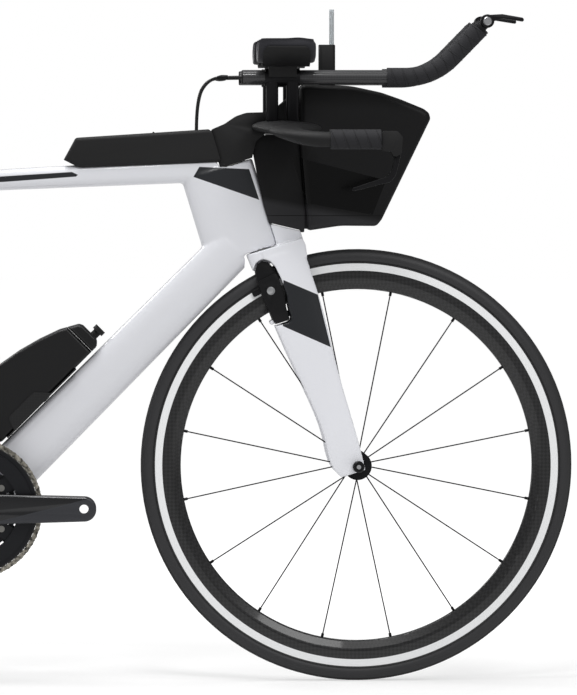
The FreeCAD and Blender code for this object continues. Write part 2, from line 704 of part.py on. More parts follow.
def down_tube(wall, first_share, last_share):
    sections = []
    for share in (first_share, (first_share + last_share) / 2, last_share):
        depth = DOWN_TUBE_DEPTH_LOW + (DOWN_TUBE_DEPTH_HIGH - DOWN_TUBE_DEPTH_LOW) * share
        half = depth / 2 - wall
        sections.append(soft_section(down(DOWN_TUBE_LENGTH * share, 0), DOWN_UP * -1, SIDE,
                                     DOWN_TUBE_HALF_WIDTH - wall, half, half, 2.3, 3.2))
    return loft(sections)


def top_tube(wall, first_share, last_share):
    rear = seat(SEAT_TUBE_TOP - TOP_TUBE_REAR_DROP)
    front = cockpit(-TOP_TUBE_SETBACK, -TOP_TUBE_FRONT_DROP)
    run = front - rear
    lift = Vector(-run.z, 0, run.x)
    lift.normalize()
    sections = []
    for share in (first_share, (first_share + last_share) / 2, last_share):
        height = TOP_TUBE_HEIGHT_REAR + (TOP_TUBE_HEIGHT_FRONT - TOP_TUBE_HEIGHT_REAR) * share
        half = height / 2 - wall
        sections.append(soft_section(rear + run * share, lift, SIDE, TOP_TUBE_HALF_WIDTH - wall,
                                     half, half, 3.0, 2.6))
    return loft(sections)


def seat_tube(wall, first_share, last_share):
    sections = []
    for share in (first_share, (first_share + last_share) / 2, last_share):
        back = SEAT_TUBE_BACK - wall
        sections.append(soft_section(seat(SEAT_TUBE_TOP * share), SEAT_FORE, SIDE,
                                     SEAT_TUBE_HALF_WIDTH - wall, SEAT_TUBE_FRONT - wall, back, 2.0, 2.8))
    return loft(sections)


def stay(start, end, stations):
    """A stay on the left side: stations are (share along, left offset, half width, half height)."""
    run = end - start
    lift = Vector(-run.z, 0, run.x)
    lift.normalize()
    sections = []
    for share, left, half_width, half_height in stations:
        centre = start + run * share + SIDE * left
        sections.append(soft_section(centre, lift, SIDE, half_width, half_height, half_height, 2.2, 2.2))
    return loft(sections)


dropout_middle = REAR_AXLE_WIDTH / 2 + DROPOUT_THICKNESS / 2
chainstay_spread = dropout_middle - CHAINSTAY_START_OFFSET
chainstay = stay(BOTTOM_BRACKET, REAR_AXLE, [
    (0, CHAINSTAY_START_OFFSET - FIT_GAP, STAY_HALF_WIDTH, CHAINSTAY_HALF_HEIGHT * 1.1),
    (0.22, CHAINSTAY_START_OFFSET + chainstay_spread * 0.04, STAY_HALF_WIDTH, CHAINSTAY_HALF_HEIGHT),
    (0.58, CHAINSTAY_START_OFFSET + chainstay_spread * 0.45, STAY_HALF_WIDTH, CHAINSTAY_HALF_HEIGHT * 0.9),
    (0.96, dropout_middle, DROPOUT_THICKNESS / 2, CHAINSTAY_HALF_HEIGHT * 0.8),
])
seatstay_spread = dropout_middle - SEATSTAY_START_OFFSET
seatstay = stay(seat(SEATSTAY_HEIGHT, -SEAT_TUBE_BACK / 2), REAR_AXLE, [
    (0, SEATSTAY_START_OFFSET - STAY_HALF_WIDTH, STAY_HALF_WIDTH, SEATSTAY_HALF_HEIGHT * 1.4),
    (0.16, SEATSTAY_START_OFFSET + STAY_HALF_WIDTH * 1.1, STAY_HALF_WIDTH * 0.8, SEATSTAY_HALF_HEIGHT),
    (0.55, SEATSTAY_START_OFFSET + seatstay_spread * 0.5, STAY_HALF_WIDTH * 0.8, SEATSTAY_HALF_HEIGHT * 0.9),
    (0.96, dropout_middle, DROPOUT_THICKNESS / 2, SEATSTAY_HALF_HEIGHT * 0.8),
])
dropout = disc(REAR_AXLE, DROPOUT_RADIUS, REAR_AXLE_WIDTH / 2, REAR_AXLE_WIDTH / 2 + DROPOUT_THICKNESS)
HANGER = REAR_AXLE + Vector(-HANGER_BACK, 0, -HANGER_DROP)


def capsule(first, second, radius, low, high, second_radius=None):
    """A flat body with round ends about two sideways axes."""
    far_radius = radius if second_radius is None else second_radius
    run = second - first
    across = Vector(-run.z, 0, run.x)
    across.normalize()
    corners = [first + across * radius, first - across * radius, second - across * far_radius,
               second + across * far_radius]
    return fused([slab(corners, 0, low, high), disc(first, radius, low, high),
                  disc(second, far_radius, low, high)])


hanger = capsule(REAR_AXLE, HANGER, KNUCKLE_RADIUS * 1.2, -REAR_AXLE_WIDTH / 2 - DROPOUT_THICKNESS,
                 -REAR_AXLE_WIDTH / 2)
head_middle = (HEAD_FRONT_RADIUS - HEAD_BACK) / 2
head_half = (HEAD_FRONT_RADIUS + HEAD_BACK) / 2
head_sections = []
for along in (AXLE_TO_CROWN, (AXLE_TO_CROWN + HEAD_TOP) / 2, HEAD_TOP):
    head_sections.append(soft_section(steer(along, head_middle), STEER_FORE, SIDE, HEAD_HALF_WIDTH,
                                      head_half * 1.12, head_half, 3.0, 2.2))
head_block = loft(head_sections)
front_reach = HEAD_BACK
front_block = steer_box(AXLE_TO_CROWN - HEAD_TUBE_LENGTH, HEAD_TOP + HEAD_TUBE_LENGTH, 0, front_reach,
                        front_reach)
front_cutter = front_block.cut(steer_drum(HEAD_FRONT_RADIUS, 0, HEAD_TOP * 2))
bb_shell = disc(BOTTOM_BRACKET, BB_SHELL_RADIUS, -BB_SHELL_WIDTH / 2, BB_SHELL_WIDTH / 2)
low_tube = down_tube(0, 0, 1).cut(steer_drum(CROWN_SWEEP_RADIUS + BODY_GAP, 0, AXLE_TO_CROWN))
high_tube = top_tube(0, 0, 1).cut(steer_drum(STEM_SWEEP_RADIUS + BODY_GAP, HEAD_TOP, HEAD_TOP * 2))
frame = fused([
    low_tube, high_tube, seat_tube(0, -0.02, 1), head_block, bb_shell,
    chainstay, mirrored(chainstay), seatstay, mirrored(seatstay), dropout, mirrored(dropout), hanger])
hollow_low = down_tube(TUBE_WALL, 0.16, 0.8)
hollow_top = top_tube(TUBE_WALL, 0.1, 0.78)
frame = frame.cut(Part.makeCompound([hollow_low, hollow_top]))
frame = frame.cut(front_cutter)
wheel_slot = disc(REAR_AXLE, TYRE_RADIUS + TYRE_GAP, -WHEEL_SLOT_HALF_WIDTH, WHEEL_SLOT_HALF_WIDTH)
post_hole = loft([
    soft_section(seat(SEAT_TUBE_TOP - SEATPOST_INSERT), SEAT_FORE, SIDE, SEATPOST_HALF_WIDTH + FIT_GAP / 4,
                 SEATPOST_FRONT + FIT_GAP / 4, SEATPOST_BACK + FIT_GAP / 4),
    soft_section(seat(SEAT_TUBE_TOP + SEATPOST_INSERT), SEAT_FORE, SIDE, SEATPOST_HALF_WIDTH + FIT_GAP / 4,
                 SEATPOST_FRONT + FIT_GAP / 4, SEATPOST_BACK + FIT_GAP / 4)])
bearing_seat = BEARING_RADIUS + RUNNING_CLEARANCE
frame = frame.cut(Part.makeCompound([wheel_slot, post_hole]))
frame = frame.cut(steer_drum(STEERER_RADIUS + BODY_GAP, 0, HEAD_TOP * 2))
frame = frame.cut(steer_drum(bearing_seat, 0, AXLE_TO_CROWN + BEARING_HEIGHT))
frame = frame.cut(steer_drum(bearing_seat, HEAD_TOP - BEARING_HEIGHT, HEAD_TOP * 2))
frame = frame.cut(disc(BOTTOM_BRACKET, SPINDLE_RADIUS + BODY_GAP, -BB_SHELL_WIDTH, BB_SHELL_WIDTH))
cup_end = BB_SHELL_WIDTH / 2
for low, high in ((-cup_end, BB_CUP_DEPTH - cup_end), (cup_end - BB_CUP_DEPTH, cup_end)):
    frame = frame.cut(disc(BOTTOM_BRACKET, BB_CUP_RADIUS + RUNNING_CLEARANCE, low, high))
AXLE_END_RADIUS = HUB_BORE_RADIUS - RUNNING_CLEARANCE - FIT_GAP * 2
frame = frame.cut(disc(REAR_AXLE, AXLE_END_RADIUS + RUNNING_CLEARANCE, -REAR_AXLE_WIDTH, REAR_AXLE_WIDTH))
frame = frame.cut(disc(HANGER, BOLT_RADIUS + RUNNING_CLEARANCE, -REAR_AXLE_WIDTH, 0))

bearings = []
for low in (AXLE_TO_CROWN, HEAD_TOP - BEARING_HEIGHT):
    ring = steer_drum(BEARING_RADIUS, low, low + BEARING_HEIGHT)
    bearings.append(ring.cut(steer_drum(STEERER_RADIUS + RUNNING_CLEARANCE, 0, HEAD_TOP * 2)))
for low in (-cup_end, cup_end - BB_CUP_DEPTH):
    ring = disc(BOTTOM_BRACKET, BB_CUP_RADIUS, low, low + BB_CUP_DEPTH)
    bearings.append(ring.cut(disc(BOTTOM_BRACKET, SPINDLE_RADIUS + RUNNING_CLEARANCE, -BB_SHELL_WIDTH,
                                  BB_SHELL_WIDTH)))
keep("frame_bearings", bearings)

# Fork
fork_sections = []
leg_spread = FORK_LEG_LOW_OFFSET - FORK_LEG_TOP_OFFSET
leg_thinning = FORK_LEG_TOP_HALF_WIDTH - FORK_LEG_LOW_HALF_WIDTH
for along, ahead, half, spread in FORK_LEG_SHARES:
    fork_sections.append(soft_section(
        steer(AXLE_TO_CROWN * along, AXLE_TO_CROWN * ahead, FORK_LEG_TOP_OFFSET + leg_spread * spread),
        STEER_FORE, SIDE, FORK_LEG_TOP_HALF_WIDTH - leg_thinning * spread,
        AXLE_TO_CROWN * half, AXLE_TO_CROWN * half, 2.2, 2.2))
leg = loft(fork_sections)


def steer_slab(shares, radii, half_width):
    """A flat body about the plane of the bike, outlined by (along, ahead) shares of the fork length."""
    points = [steer(AXLE_TO_CROWN * along, AXLE_TO_CROWN * ahead) for along, ahead in shares]
    return slab(points, radii, -half_width, half_width)


crown = steer_slab(CROWN_SHARES, [0, 0, AXLE_TO_CROWN * 0.02, 0, 0], CROWN_HALF_WIDTH)
crown_block = steer_box(AXLE_TO_CROWN * 0.915, HEAD_TOP, -front_reach, 0, front_reach)
crown_rear_cut = crown_block.cut(steer_drum(CROWN_SWEEP_RADIUS, 0, HEAD_TOP))
bayonet = steer_slab(BAYONET_SHARES, 0, BAYONET_HALF_WIDTH)
bayonet = bayonet.cut(steer_drum(HEAD_FRONT_RADIUS + BODY_GAP, AXLE_TO_CROWN - FIT_GAP, HEAD_TOP))
fork = fused([leg, mirrored(leg), crown, bayonet])
fork = fork.cut(crown_rear_cut)
fork = fork.cut(disc(FRONT_AXLE, TYRE_RADIUS + TYRE_GAP * 0.8, -WHEEL_SLOT_HALF_WIDTH, WHEEL_SLOT_HALF_WIDTH))
fork = fused([fork, steer_drum(STEERER_RADIUS, AXLE_TO_CROWN * 0.97, HEAD_TOP + STEERER_TOP)])
fork = fork.cut(disc(FRONT_AXLE, AXLE_END_RADIUS + RUNNING_CLEARANCE, -FRONT_AXLE_WIDTH, FRONT_AXLE_WIDTH))
for side_sign in (-1, 1):
    inner = FRONT_AXLE_WIDTH / 2
    low, high = sorted((0, side_sign * inner))
    fork = fork.cut(disc(FRONT_AXLE, HUB_END_RADIUS + BODY_GAP, low, high))
    outer = inner + DROPOUT_THICKNESS * 1.6
    low, high = sorted((side_sign * outer, side_sign * (outer + inner)))
    fork = fork.cut(disc(FRONT_AXLE, QR_HEAD_RADIUS + BODY_GAP, low, high))


def axle(centre, half_width, cheek):
    """Axle, skewer and nut on the right, and the lever's head on the left."""
    face = half_width + cheek
    bearing = HUB_BORE_RADIUS - RUNNING_CLEARANCE
    profile = [
        (0, -face - SKEWER_NUT_LENGTH), (SKEWER_NUT_RADIUS * 0.8, -face - SKEWER_NUT_LENGTH),
        (SKEWER_NUT_RADIUS, -face - SKEWER_NUT_LENGTH * 0.8), (SKEWER_NUT_RADIUS, -face),
        (AXLE_END_RADIUS, -face), (AXLE_END_RADIUS, -half_width), (HUB_END_RADIUS * 0.8, -half_width),
        (HUB_END_RADIUS * 0.8, -half_width + HUB_END_GAP * 0.7), (bearing, -half_width + HUB_END_GAP * 0.7),
        (bearing, half_width - HUB_END_GAP * 0.7), (HUB_END_RADIUS * 0.8, half_width - HUB_END_GAP * 0.7),
        (HUB_END_RADIUS * 0.8, half_width), (AXLE_END_RADIUS, half_width), (AXLE_END_RADIUS, face),
        (QR_HEAD_RADIUS, face), (QR_HEAD_RADIUS, face + QR_HEAD_LENGTH), (0, face + QR_HEAD_LENGTH),
    ]
    return turned(centre, profile)


def qr_lever(centre, face, along, across):
    """Quick-release lever lying along the given direction, hinged about the across direction."""
    half = QR_LEVER_THICKNESS / 2
    hinge = Vector(centre.x, face + QR_HEAD_LENGTH + half + FIT_GAP, centre.z)
    start = hinge - across * (QR_LEVER_WIDTH / 2)
    barrel = rod(start, start + across * QR_LEVER_WIDTH, half)
    corners = [hinge - across * (QR_LEVER_WIDTH / 2), hinge + across * (QR_LEVER_WIDTH / 2),
               hinge + across * (QR_LEVER_WIDTH * 0.36) + along * QR_LEVER_LENGTH,
               hinge - across * (QR_LEVER_WIDTH * 0.36) + along * QR_LEVER_LENGTH]
    blade = slab(corners, [0, 0, QR_LEVER_WIDTH * 0.34, QR_LEVER_WIDTH * 0.34], hinge.y - half,
                 hinge.y + half)
    return fused([barrel, blade]), hinge


fork_face = DROPOUT_THICKNESS * 1.6
keep("front_axle", axle(FRONT_AXLE, FRONT_AXLE_WIDTH / 2, fork_face))
front_lever, FRONT_QR_HINGE = qr_lever(FRONT_AXLE, FRONT_AXLE_WIDTH / 2 + fork_face, STEER_UP, STEER_FORE)
keep("front_qr_lever", front_lever)
keep("rear_axle", axle(REAR_AXLE, REAR_AXLE_WIDTH / 2, DROPOUT_THICKNESS))
rear_lever, REAR_QR_HINGE = qr_lever(REAR_AXLE, REAR_AXLE_WIDTH / 2 + DROPOUT_THICKNESS, FORE, UP)
keep("rear_qr_lever", rear_lever)
keep("frame", frame)


# Stem, blade, base bar and hydration bottle
nose_points = share_points(cockpit(BOTTLE_NOSE_FORWARD, -BOTTLE_NOSE_DROP), FORE, UP, BOTTLE_NOSE_LENGTH,
                           BOTTLE_NOSE_HEIGHT, BOTTLE_NOSE_SHARES)
nose_radii = [BOTTLE_NOSE_LENGTH * share for share in BOTTLE_NOSE_CORNER_SHARES]


def rounded_slab(points, radii, half_width, edge, middle=0):
    """A flat body whose two rims are rounded off."""
    body = slab(points, radii, middle - half_width, middle + half_width)
    rims = [line for line in body.Edges
            if abs(abs(line.CenterOfMass.y - middle) - half_width) < 1e-4]
    return body.makeFillet(edge, rims)


def hollow_slab(points, radii, half_width, wall):
    """The space inside a flat body, one wall in from its faces."""
    face = Part.Face(corner_wire([Vector(p.x, -half_width + wall, p.z) for p in points], radii))
    return face.makeOffset2D(-wall).extrude(SIDE * (half_width * 2 - wall * 2))


hydration = rounded_slab(nose_points, nose_radii, BOTTLE_NOSE_HALF_WIDTH, BOTTLE_NOSE_EDGE)
hydration = hydration.cut(hollow_slab(nose_points, nose_radii, BOTTLE_NOSE_HALF_WIDTH - BOTTLE_NOSE_EDGE / 2,
                                      BOTTLE_WALL))
keep("hydration_bottle", hydration)

bar_sections = []
for (left, ahead, above, chord, thick), turn in zip(BAR_SHARES, BAR_TURNS_DEG):
    angle = math.radians(turn)
    fore = Vector(math.cos(angle), -math.sin(angle), 0)
    level = BAR_GRIP_HEIGHT + (WING_HEIGHT - BAR_GRIP_HEIGHT) * above
    half_chord = WING_CHORD / 2 * chord
    bar_sections.append(soft_section(cockpit(GRIP_END * ahead, level, BAR_HALF_WIDTH * left), fore, UP,
                                     WING_THICKNESS / 2 * thick, half_chord, half_chord))
half_bar = fused([loft(bar_sections[:BAR_BEND_STATION + 1]), loft(bar_sections[BAR_BEND_STATION:])])
bar_tube = rod(cockpit(GRIP_END * BAR_SHARES[-1][1], BAR_GRIP_HEIGHT, BAR_HALF_WIDTH),
               cockpit(GRIP_END, BAR_GRIP_HEIGHT, BAR_HALF_WIDTH), BAR_TUBE_RADIUS)
half_bar = fused([half_bar, bar_tube])
base_bar = fused([half_bar, mirrored(half_bar)])
notch = slab([p + FORE * -FIT_GAP for p in nose_points], nose_radii, -BOTTLE_NOSE_HALF_WIDTH - FIT_GAP,
             BOTTLE_NOSE_HALF_WIDTH + FIT_GAP)
base_bar = base_bar.cut(notch)
keep("base_bar", base_bar)

stem_points = share_points(cockpit(-STEM_REAR_SETBACK, 0), FORE, UP, STEM_LENGTH, STEM_HEIGHT, STEM_SHARES)
stem = slab(stem_points, [STEM_LENGTH * share for share in STEM_CORNER_SHARES], -STEM_HALF_WIDTH,
            STEM_HALF_WIDTH)
stem_rear = steer_box(AXLE_TO_CROWN, HEAD_TOP * 2, -front_reach, 0, front_reach)
stem = stem.cut(stem_rear.cut(steer_drum(STEM_SWEEP_RADIUS, 0, HEAD_TOP * 2)))
stem = stem.cut(steer_box(AXLE_TO_CROWN, HEAD_TOP + FIT_GAP, -front_reach, front_reach * 2, front_reach))
stem = stem.cut(steer_drum(STEERER_RADIUS + RUNNING_CLEARANCE / 4, 0, HEAD_TOP + STEERER_TOP + FIT_GAP))
stem = stem.cut(base_bar)
keep("stem", stem)

blade_points = share_points(cockpit(BLADE_FORWARD, -BLADE_DROP), FORE, UP, BLADE_LENGTH, BLADE_HEIGHT,
                            BLADE_SHARES)
blade = slab(blade_points, 0, -BAYONET_HALF_WIDTH, BAYONET_HALF_WIDTH)
blade = blade.cut(steer_drum(HEAD_FRONT_RADIUS + BODY_GAP, 0, HEAD_TOP + FIT_GAP))
blade = blade.cut(stem.fuse(base_bar))
blade = blade.cut(slab([p + FORE * -FIT_GAP for p in nose_points], nose_radii, -BOTTLE_NOSE_HALF_WIDTH,
                       BOTTLE_NOSE_HALF_WIDTH))
blade = blade.cut(steer_slab([(along + FIT_GAP / AXLE_TO_CROWN, ahead) for along, ahead in BAYONET_SHARES], 0,
                             BAYONET_HALF_WIDTH * 2))
keep("stem_blade", max(blade.Solids, key=lambda solid: solid.Volume))

# Grips, brake lever bodies and levers
grip_start = cockpit(GRIP_START, BAR_GRIP_HEIGHT, BAR_HALF_WIDTH)
grip_end = cockpit(GRIP_END, BAR_GRIP_HEIGHT, BAR_HALF_WIDTH)
grip = rod(grip_start, grip_end, GRIP_RADIUS)
grip = grip.makeFillet((GRIP_RADIUS - BAR_TUBE_RADIUS) * 0.6, grip.Edges)
grip = grip.cut(rod(grip_start - FORE * FIT_GAP, grip_end + FORE * FIT_GAP,
                    BAR_TUBE_RADIUS + RUNNING_CLEARANCE / 4))
body_points = share_points(cockpit(GRIP_END + FIT_GAP, LEVER_BODY_BASE), FORE, UP, LEVER_BODY_LENGTH,
                           LEVER_BODY_HEIGHT, LEVER_BODY_SHARES)
lever_pivot = cockpit(GRIP_END + LEVER_PIVOT_AHEAD, LEVER_PIVOT_ABOVE)
lever_body = slab(body_points, LEVER_BODY_HEIGHT * 0.16, BAR_HALF_WIDTH - LEVER_BODY_WIDTH / 2,
                  BAR_HALF_WIDTH + LEVER_BODY_WIDTH / 2)
slot_points = [lever_pivot + Vector(-LEVER_SLOT_BACK, 0, LEVER_SLOT_BACK * 1.2),
               lever_pivot + Vector(-LEVER_SLOT_BACK, 0, -LEVER_BODY_HEIGHT),
               lever_pivot + Vector(LEVER_BODY_HEIGHT, 0, -LEVER_BODY_HEIGHT),
               lever_pivot + Vector(LEVER_BODY_HEIGHT, 0, LEVER_SLOT_BACK * 1.2)]
lever_slot = slab(slot_points, 0, BAR_HALF_WIDTH - LEVER_WIDTH / 2 - FIT_GAP,
                  BAR_HALF_WIDTH + LEVER_WIDTH / 2 + FIT_GAP)
lever_pin = disc(lever_pivot, LEVER_PIVOT_RADIUS, BAR_HALF_WIDTH - LEVER_BODY_WIDTH * 0.45,
                 BAR_HALF_WIDTH + LEVER_BODY_WIDTH * 0.45)
lever_body = fused([lever_body.cut(lever_slot), lever_pin])
keep("lever_bodies", both_sides(lever_body))
blade_outline = share_points(lever_pivot, FORE, UP, LEVER_REACH, LEVER_DROP, LEVER_SHARES)
brake_lever = slab(blade_outline, LEVER_THICKNESS * 0.4, BAR_HALF_WIDTH - LEVER_WIDTH / 2,
                   BAR_HALF_WIDTH + LEVER_WIDTH / 2)
brake_lever = brake_lever.cut(disc(lever_pivot, LEVER_PIVOT_RADIUS + RUNNING_CLEARANCE, 0,
                                   BAR_HALF_WIDTH * 2))
keep("brake_lever_left", brake_lever)
keep("brake_lever_right", mirrored(brake_lever))

# Extensions with their wraps, risers, shifters, arm cups and pads
bend = math.radians(EXTENSION_BEND_DEG)
RISE = Vector(math.cos(bend), 0, math.sin(bend))
extension_rear = cockpit(EXTENSION_REAR, EXTENSION_HEIGHT, EXTENSION_HALF_SPAN)
extension_corner = cockpit(EXTENSION_CORNER, EXTENSION_HEIGHT, EXTENSION_HALF_SPAN)
extension_end = extension_corner + RISE * EXTENSION_RISE_LENGTH


def extension_pipe(start, end, radius):
    path = bent_path([start, extension_corner, end], EXTENSION_BEND_RADIUS)
    return pipe(path, start, FORE, radius)


extension = extension_pipe(extension_rear, extension_end, EXTENSION_RADIUS)
bore = extension_pipe(extension_rear + FORE * EXTENSION_PLUG, extension_end - RISE * EXTENSION_PLUG,
                      EXTENSION_RADIUS - EXTENSION_WALL)
extension = extension.cut(bore)
cable_bore = rod(extension_rear - FORE * FIT_GAP, extension_rear + FORE * EXTENSION_PLUG * 2,
                 CABLE_RADIUS + FIT_GAP)
extension = extension.cut(cable_bore)
keep("extensions", both_sides(extension))
wrap_start = cockpit(WRAP_START, EXTENSION_HEIGHT, EXTENSION_HALF_SPAN)
wrap = extension_pipe(wrap_start, extension_end - RISE * FIT_GAP, WRAP_RADIUS)
wrap = wrap.cut(extension_pipe(wrap_start - FORE * FIT_GAP, extension_end + RISE * FIT_GAP,
                               EXTENSION_RADIUS + RUNNING_CLEARANCE / 4))
keep("bar_tape", both_sides(grip) + both_sides(wrap))

clamp_middle = (RISER_REAR_FORWARD + RISER_FRONT_FORWARD) / 2
clamp_start = cockpit(clamp_middle - CLAMP_LENGTH / 2, EXTENSION_HEIGHT, EXTENSION_HALF_SPAN)
clamp = rod(clamp_start, clamp_start + FORE * CLAMP_LENGTH, CLAMP_RADIUS)
riser_bodies = [clamp]
for ahead in (RISER_REAR_FORWARD, RISER_FRONT_FORWARD):
    foot = cockpit(ahead - RISER_LENGTH_X / 2, WING_HEIGHT, EXTENSION_HALF_SPAN - RISER_HALF_WIDTH)
    post = Part.makeBox(RISER_LENGTH_X, RISER_HALF_WIDTH * 2, EXTENSION_HEIGHT - WING_HEIGHT, foot)
    upright = [line for line in post.Edges if abs(line.tangentAt(line.FirstParameter).z) > 0.99]
    riser_bodies.append(post.makeFillet(RISER_LENGTH_X * 0.3, upright))
riser = fused(riser_bodies)
riser = riser.cut(rod(clamp_start - FORE * FIT_GAP, clamp_start + FORE * (CLAMP_LENGTH + FIT_GAP),
                      EXTENSION_RADIUS + RUNNING_CLEARANCE / 4))
riser = riser.cut(base_bar)
riser = max(riser.Solids, key=lambda solid: solid.Volume)
keep("risers", both_sides(riser))

cup_low = EXTENSION_HEIGHT + CLAMP_RADIUS + CUP_BASE_HEIGHT
cup_middle = EXTENSION_HALF_SPAN + CUP_OUTSET


def trough(start, length, half_width, rise, thickness, crown):
    """A trough along the bike: an arc below, an arc above, closed at the edges."""
    low = start
    side_low = SIDE * half_width + UP * rise
    other_low = SIDE * -half_width + UP * rise
    lift = UP * thickness
    edges = [
        Part.Arc(low + other_low, low, low + side_low).toShape(),
        Part.LineSegment(low + side_low, low + side_low + lift * crown).toShape(),
        Part.Arc(low + side_low + lift * crown, low + lift, low + other_low + lift * crown).toShape(),
        Part.LineSegment(low + other_low + lift * crown, low + other_low).toShape(),
    ]
    return Part.Face(Part.Wire(edges)).extrude(FORE * length)


cup_start = cockpit(CUP_FORWARD, cup_low, cup_middle)
cup = trough(cup_start, CUP_LENGTH, CUP_HALF_WIDTH, CUP_RISE, CUP_THICKNESS, 1.0)
cup_outline = [cockpit(CUP_FORWARD, cup_low - CUP_RISE),
               cockpit(CUP_FORWARD + CUP_LENGTH, cup_low - CUP_RISE),
               cockpit(CUP_FORWARD + CUP_LENGTH, cup_low + CUP_RISE + CUP_THICKNESS * 1.5),
               cockpit(CUP_FORWARD, cup_low + CUP_RISE + CUP_THICKNESS * 1.5)]
cup = cup.common(slab(cup_outline, CUP_RISE * 0.55, 0, BAR_HALF_WIDTH))
cup_foot = Part.makeBox(CLAMP_LENGTH * 0.8, RISER_HALF_WIDTH * 2,
                        CUP_BASE_HEIGHT + CLAMP_RADIUS + CUP_THICKNESS * 2,
                        cockpit(clamp_middle - CLAMP_LENGTH * 0.4, EXTENSION_HEIGHT,
                                EXTENSION_HALF_SPAN - RISER_HALF_WIDTH * 0.4))
above_cup = trough(cup_start + UP * CUP_THICKNESS, CUP_LENGTH, CUP_HALF_WIDTH, CUP_RISE, CUP_RISE * 2, 1.0)
cup_foot = cup_foot.cut(above_cup).cut(rod(clamp_start - FORE * FIT_GAP,
                                           clamp_start + FORE * CLAMP_LENGTH * 1.2,
                                           CLAMP_RADIUS))
cup = fused([cup, cup_foot])
keep("pad_cups", both_sides(cup))
pad_start = cup_start + UP * CUP_THICKNESS - FORE * PAD_OVERHANG
pad_length = CUP_LENGTH + PAD_OVERHANG * 2
pad = trough(pad_start, pad_length, CUP_HALF_WIDTH, CUP_RISE, PAD_THICKNESS, PAD_EDGE_SHARE)
pad_low = cup_low + CUP_THICKNESS
pad_high = pad_low + CUP_RISE + PAD_THICKNESS * (PAD_EDGE_SHARE + 0.1)
pad_outline = [cockpit(CUP_FORWARD - PAD_OVERHANG, pad_low - CUP_RISE * 0.4),
               cockpit(CUP_FORWARD + CUP_LENGTH + PAD_OVERHANG, pad_low - CUP_RISE * 0.4),
               cockpit(CUP_FORWARD + CUP_LENGTH + PAD_OVERHANG, pad_high),
               cockpit(CUP_FORWARD - PAD_OVERHANG, pad_high)]
pad = pad.common(slab(pad_outline, CUP_RISE * 0.55, 0, BAR_HALF_WIDTH))
keep("arm_pads", both_sides(pad))

shifter_pivot = extension_end + RISE * SHIFTER_BASE_LENGTH
half_boss = SHIFTER_PIVOT_WIDTH * 0.3
shifter_stem = rod(extension_end + RISE * FIT_GAP / 2, shifter_pivot, SHIFTER_BASE_RADIUS * 0.75)
shifter_collar = rod(extension_end + RISE * FIT_GAP / 2, extension_end + RISE * SHIFTER_BASE_LENGTH * 0.3,
                     WRAP_RADIUS * 0.96)
shifter_boss = disc(shifter_pivot, SHIFTER_PIVOT_RADIUS, EXTENSION_HALF_SPAN - half_boss,
                    EXTENSION_HALF_SPAN + half_boss)
shifter_body = fused([shifter_collar, shifter_stem, shifter_boss])
lever_side = EXTENSION_HALF_SPAN + half_boss
shifter_body = shifter_body.cut(disc(shifter_pivot, SHIFTER_PIVOT_RADIUS + FIT_GAP, lever_side,
                                     lever_side * 2))
keep("shifter_bodies", both_sides(shifter_body))
lever_low = EXTENSION_HALF_SPAN + half_boss + FIT_GAP
lever_high = lever_low + SHIFT_LEVER_WIDTH * 0.6
shift_disc = disc(shifter_pivot, SHIFTER_PIVOT_RADIUS, lever_low, lever_high)
shift_outline = share_points(shifter_pivot, FORE, UP, SHIFT_LEVER_LENGTH, SHIFT_LEVER_LENGTH,
                             SHIFT_LEVER_SHARES)
shift_blade = slab(shift_outline, SHIFT_LEVER_THICKNESS * 0.45, lever_low, lever_high)
shift_lever = fused([shift_disc, shift_blade])
keep("shift_lever_left", shift_lever)
keep("shift_lever_right", mirrored(shift_lever))

# Straw and its holder
holder_foot = cockpit(STRAW_HOLDER_FORWARD, WING_HEIGHT, -STRAW_HOLDER_HALF_WIDTH)
holder = Part.makeBox(STRAW_HOLDER_LENGTH, STRAW_HOLDER_HALF_WIDTH * 2, STRAW_HOLDER_TOP - WING_HEIGHT,
                      holder_foot)
upright = [line for line in holder.Edges if abs(line.tangentAt(line.FirstParameter).z) > 0.99]
holder = holder.makeFillet(STRAW_HOLDER_HALF_WIDTH * 0.5, upright)
nose_block = slab(nose_points, nose_radii, -BOTTLE_NOSE_HALF_WIDTH, BOTTLE_NOSE_HALF_WIDTH)
holder = holder.cut(nose_block)
straw_low = cockpit(STRAW_FORWARD, STRAW_HOLDER_TOP - STRAW_INSERT)
straw_high = cockpit(STRAW_FORWARD, STRAW_TOP)
holder = holder.cut(rod(straw_low, straw_high, STRAW_RADIUS + RUNNING_CLEARANCE / 4))
keep("straw_holder", holder)
straw = rod(straw_low, straw_high, STRAW_RADIUS).cut(rod(straw_low, straw_high, STRAW_BORE_RADIUS))
keep("straw", straw)

# Shift cables from the rear ends of the extensions into the storage box
cable_turn = extension_rear - FORE * CABLE_LEAD
cable_drop = cockpit(CABLE_PORT_FORWARD, EXTENSION_HEIGHT, CABLE_PORT_SPAN)
cable_port = cockpit(CABLE_PORT_FORWARD, BOX_HEIGHT - BOX_DROP - CABLE_PORT_SINK, CABLE_PORT_SPAN)
cable_path = bent_path([extension_rear + FORE * EXTENSION_PLUG, cable_turn, cable_drop, cable_port],
                       CABLE_BEND_RADIUS)
cable = pipe(cable_path, extension_rear + FORE * EXTENSION_PLUG, FORE, CABLE_RADIUS)
keep("shift_cables", both_sides(cable))


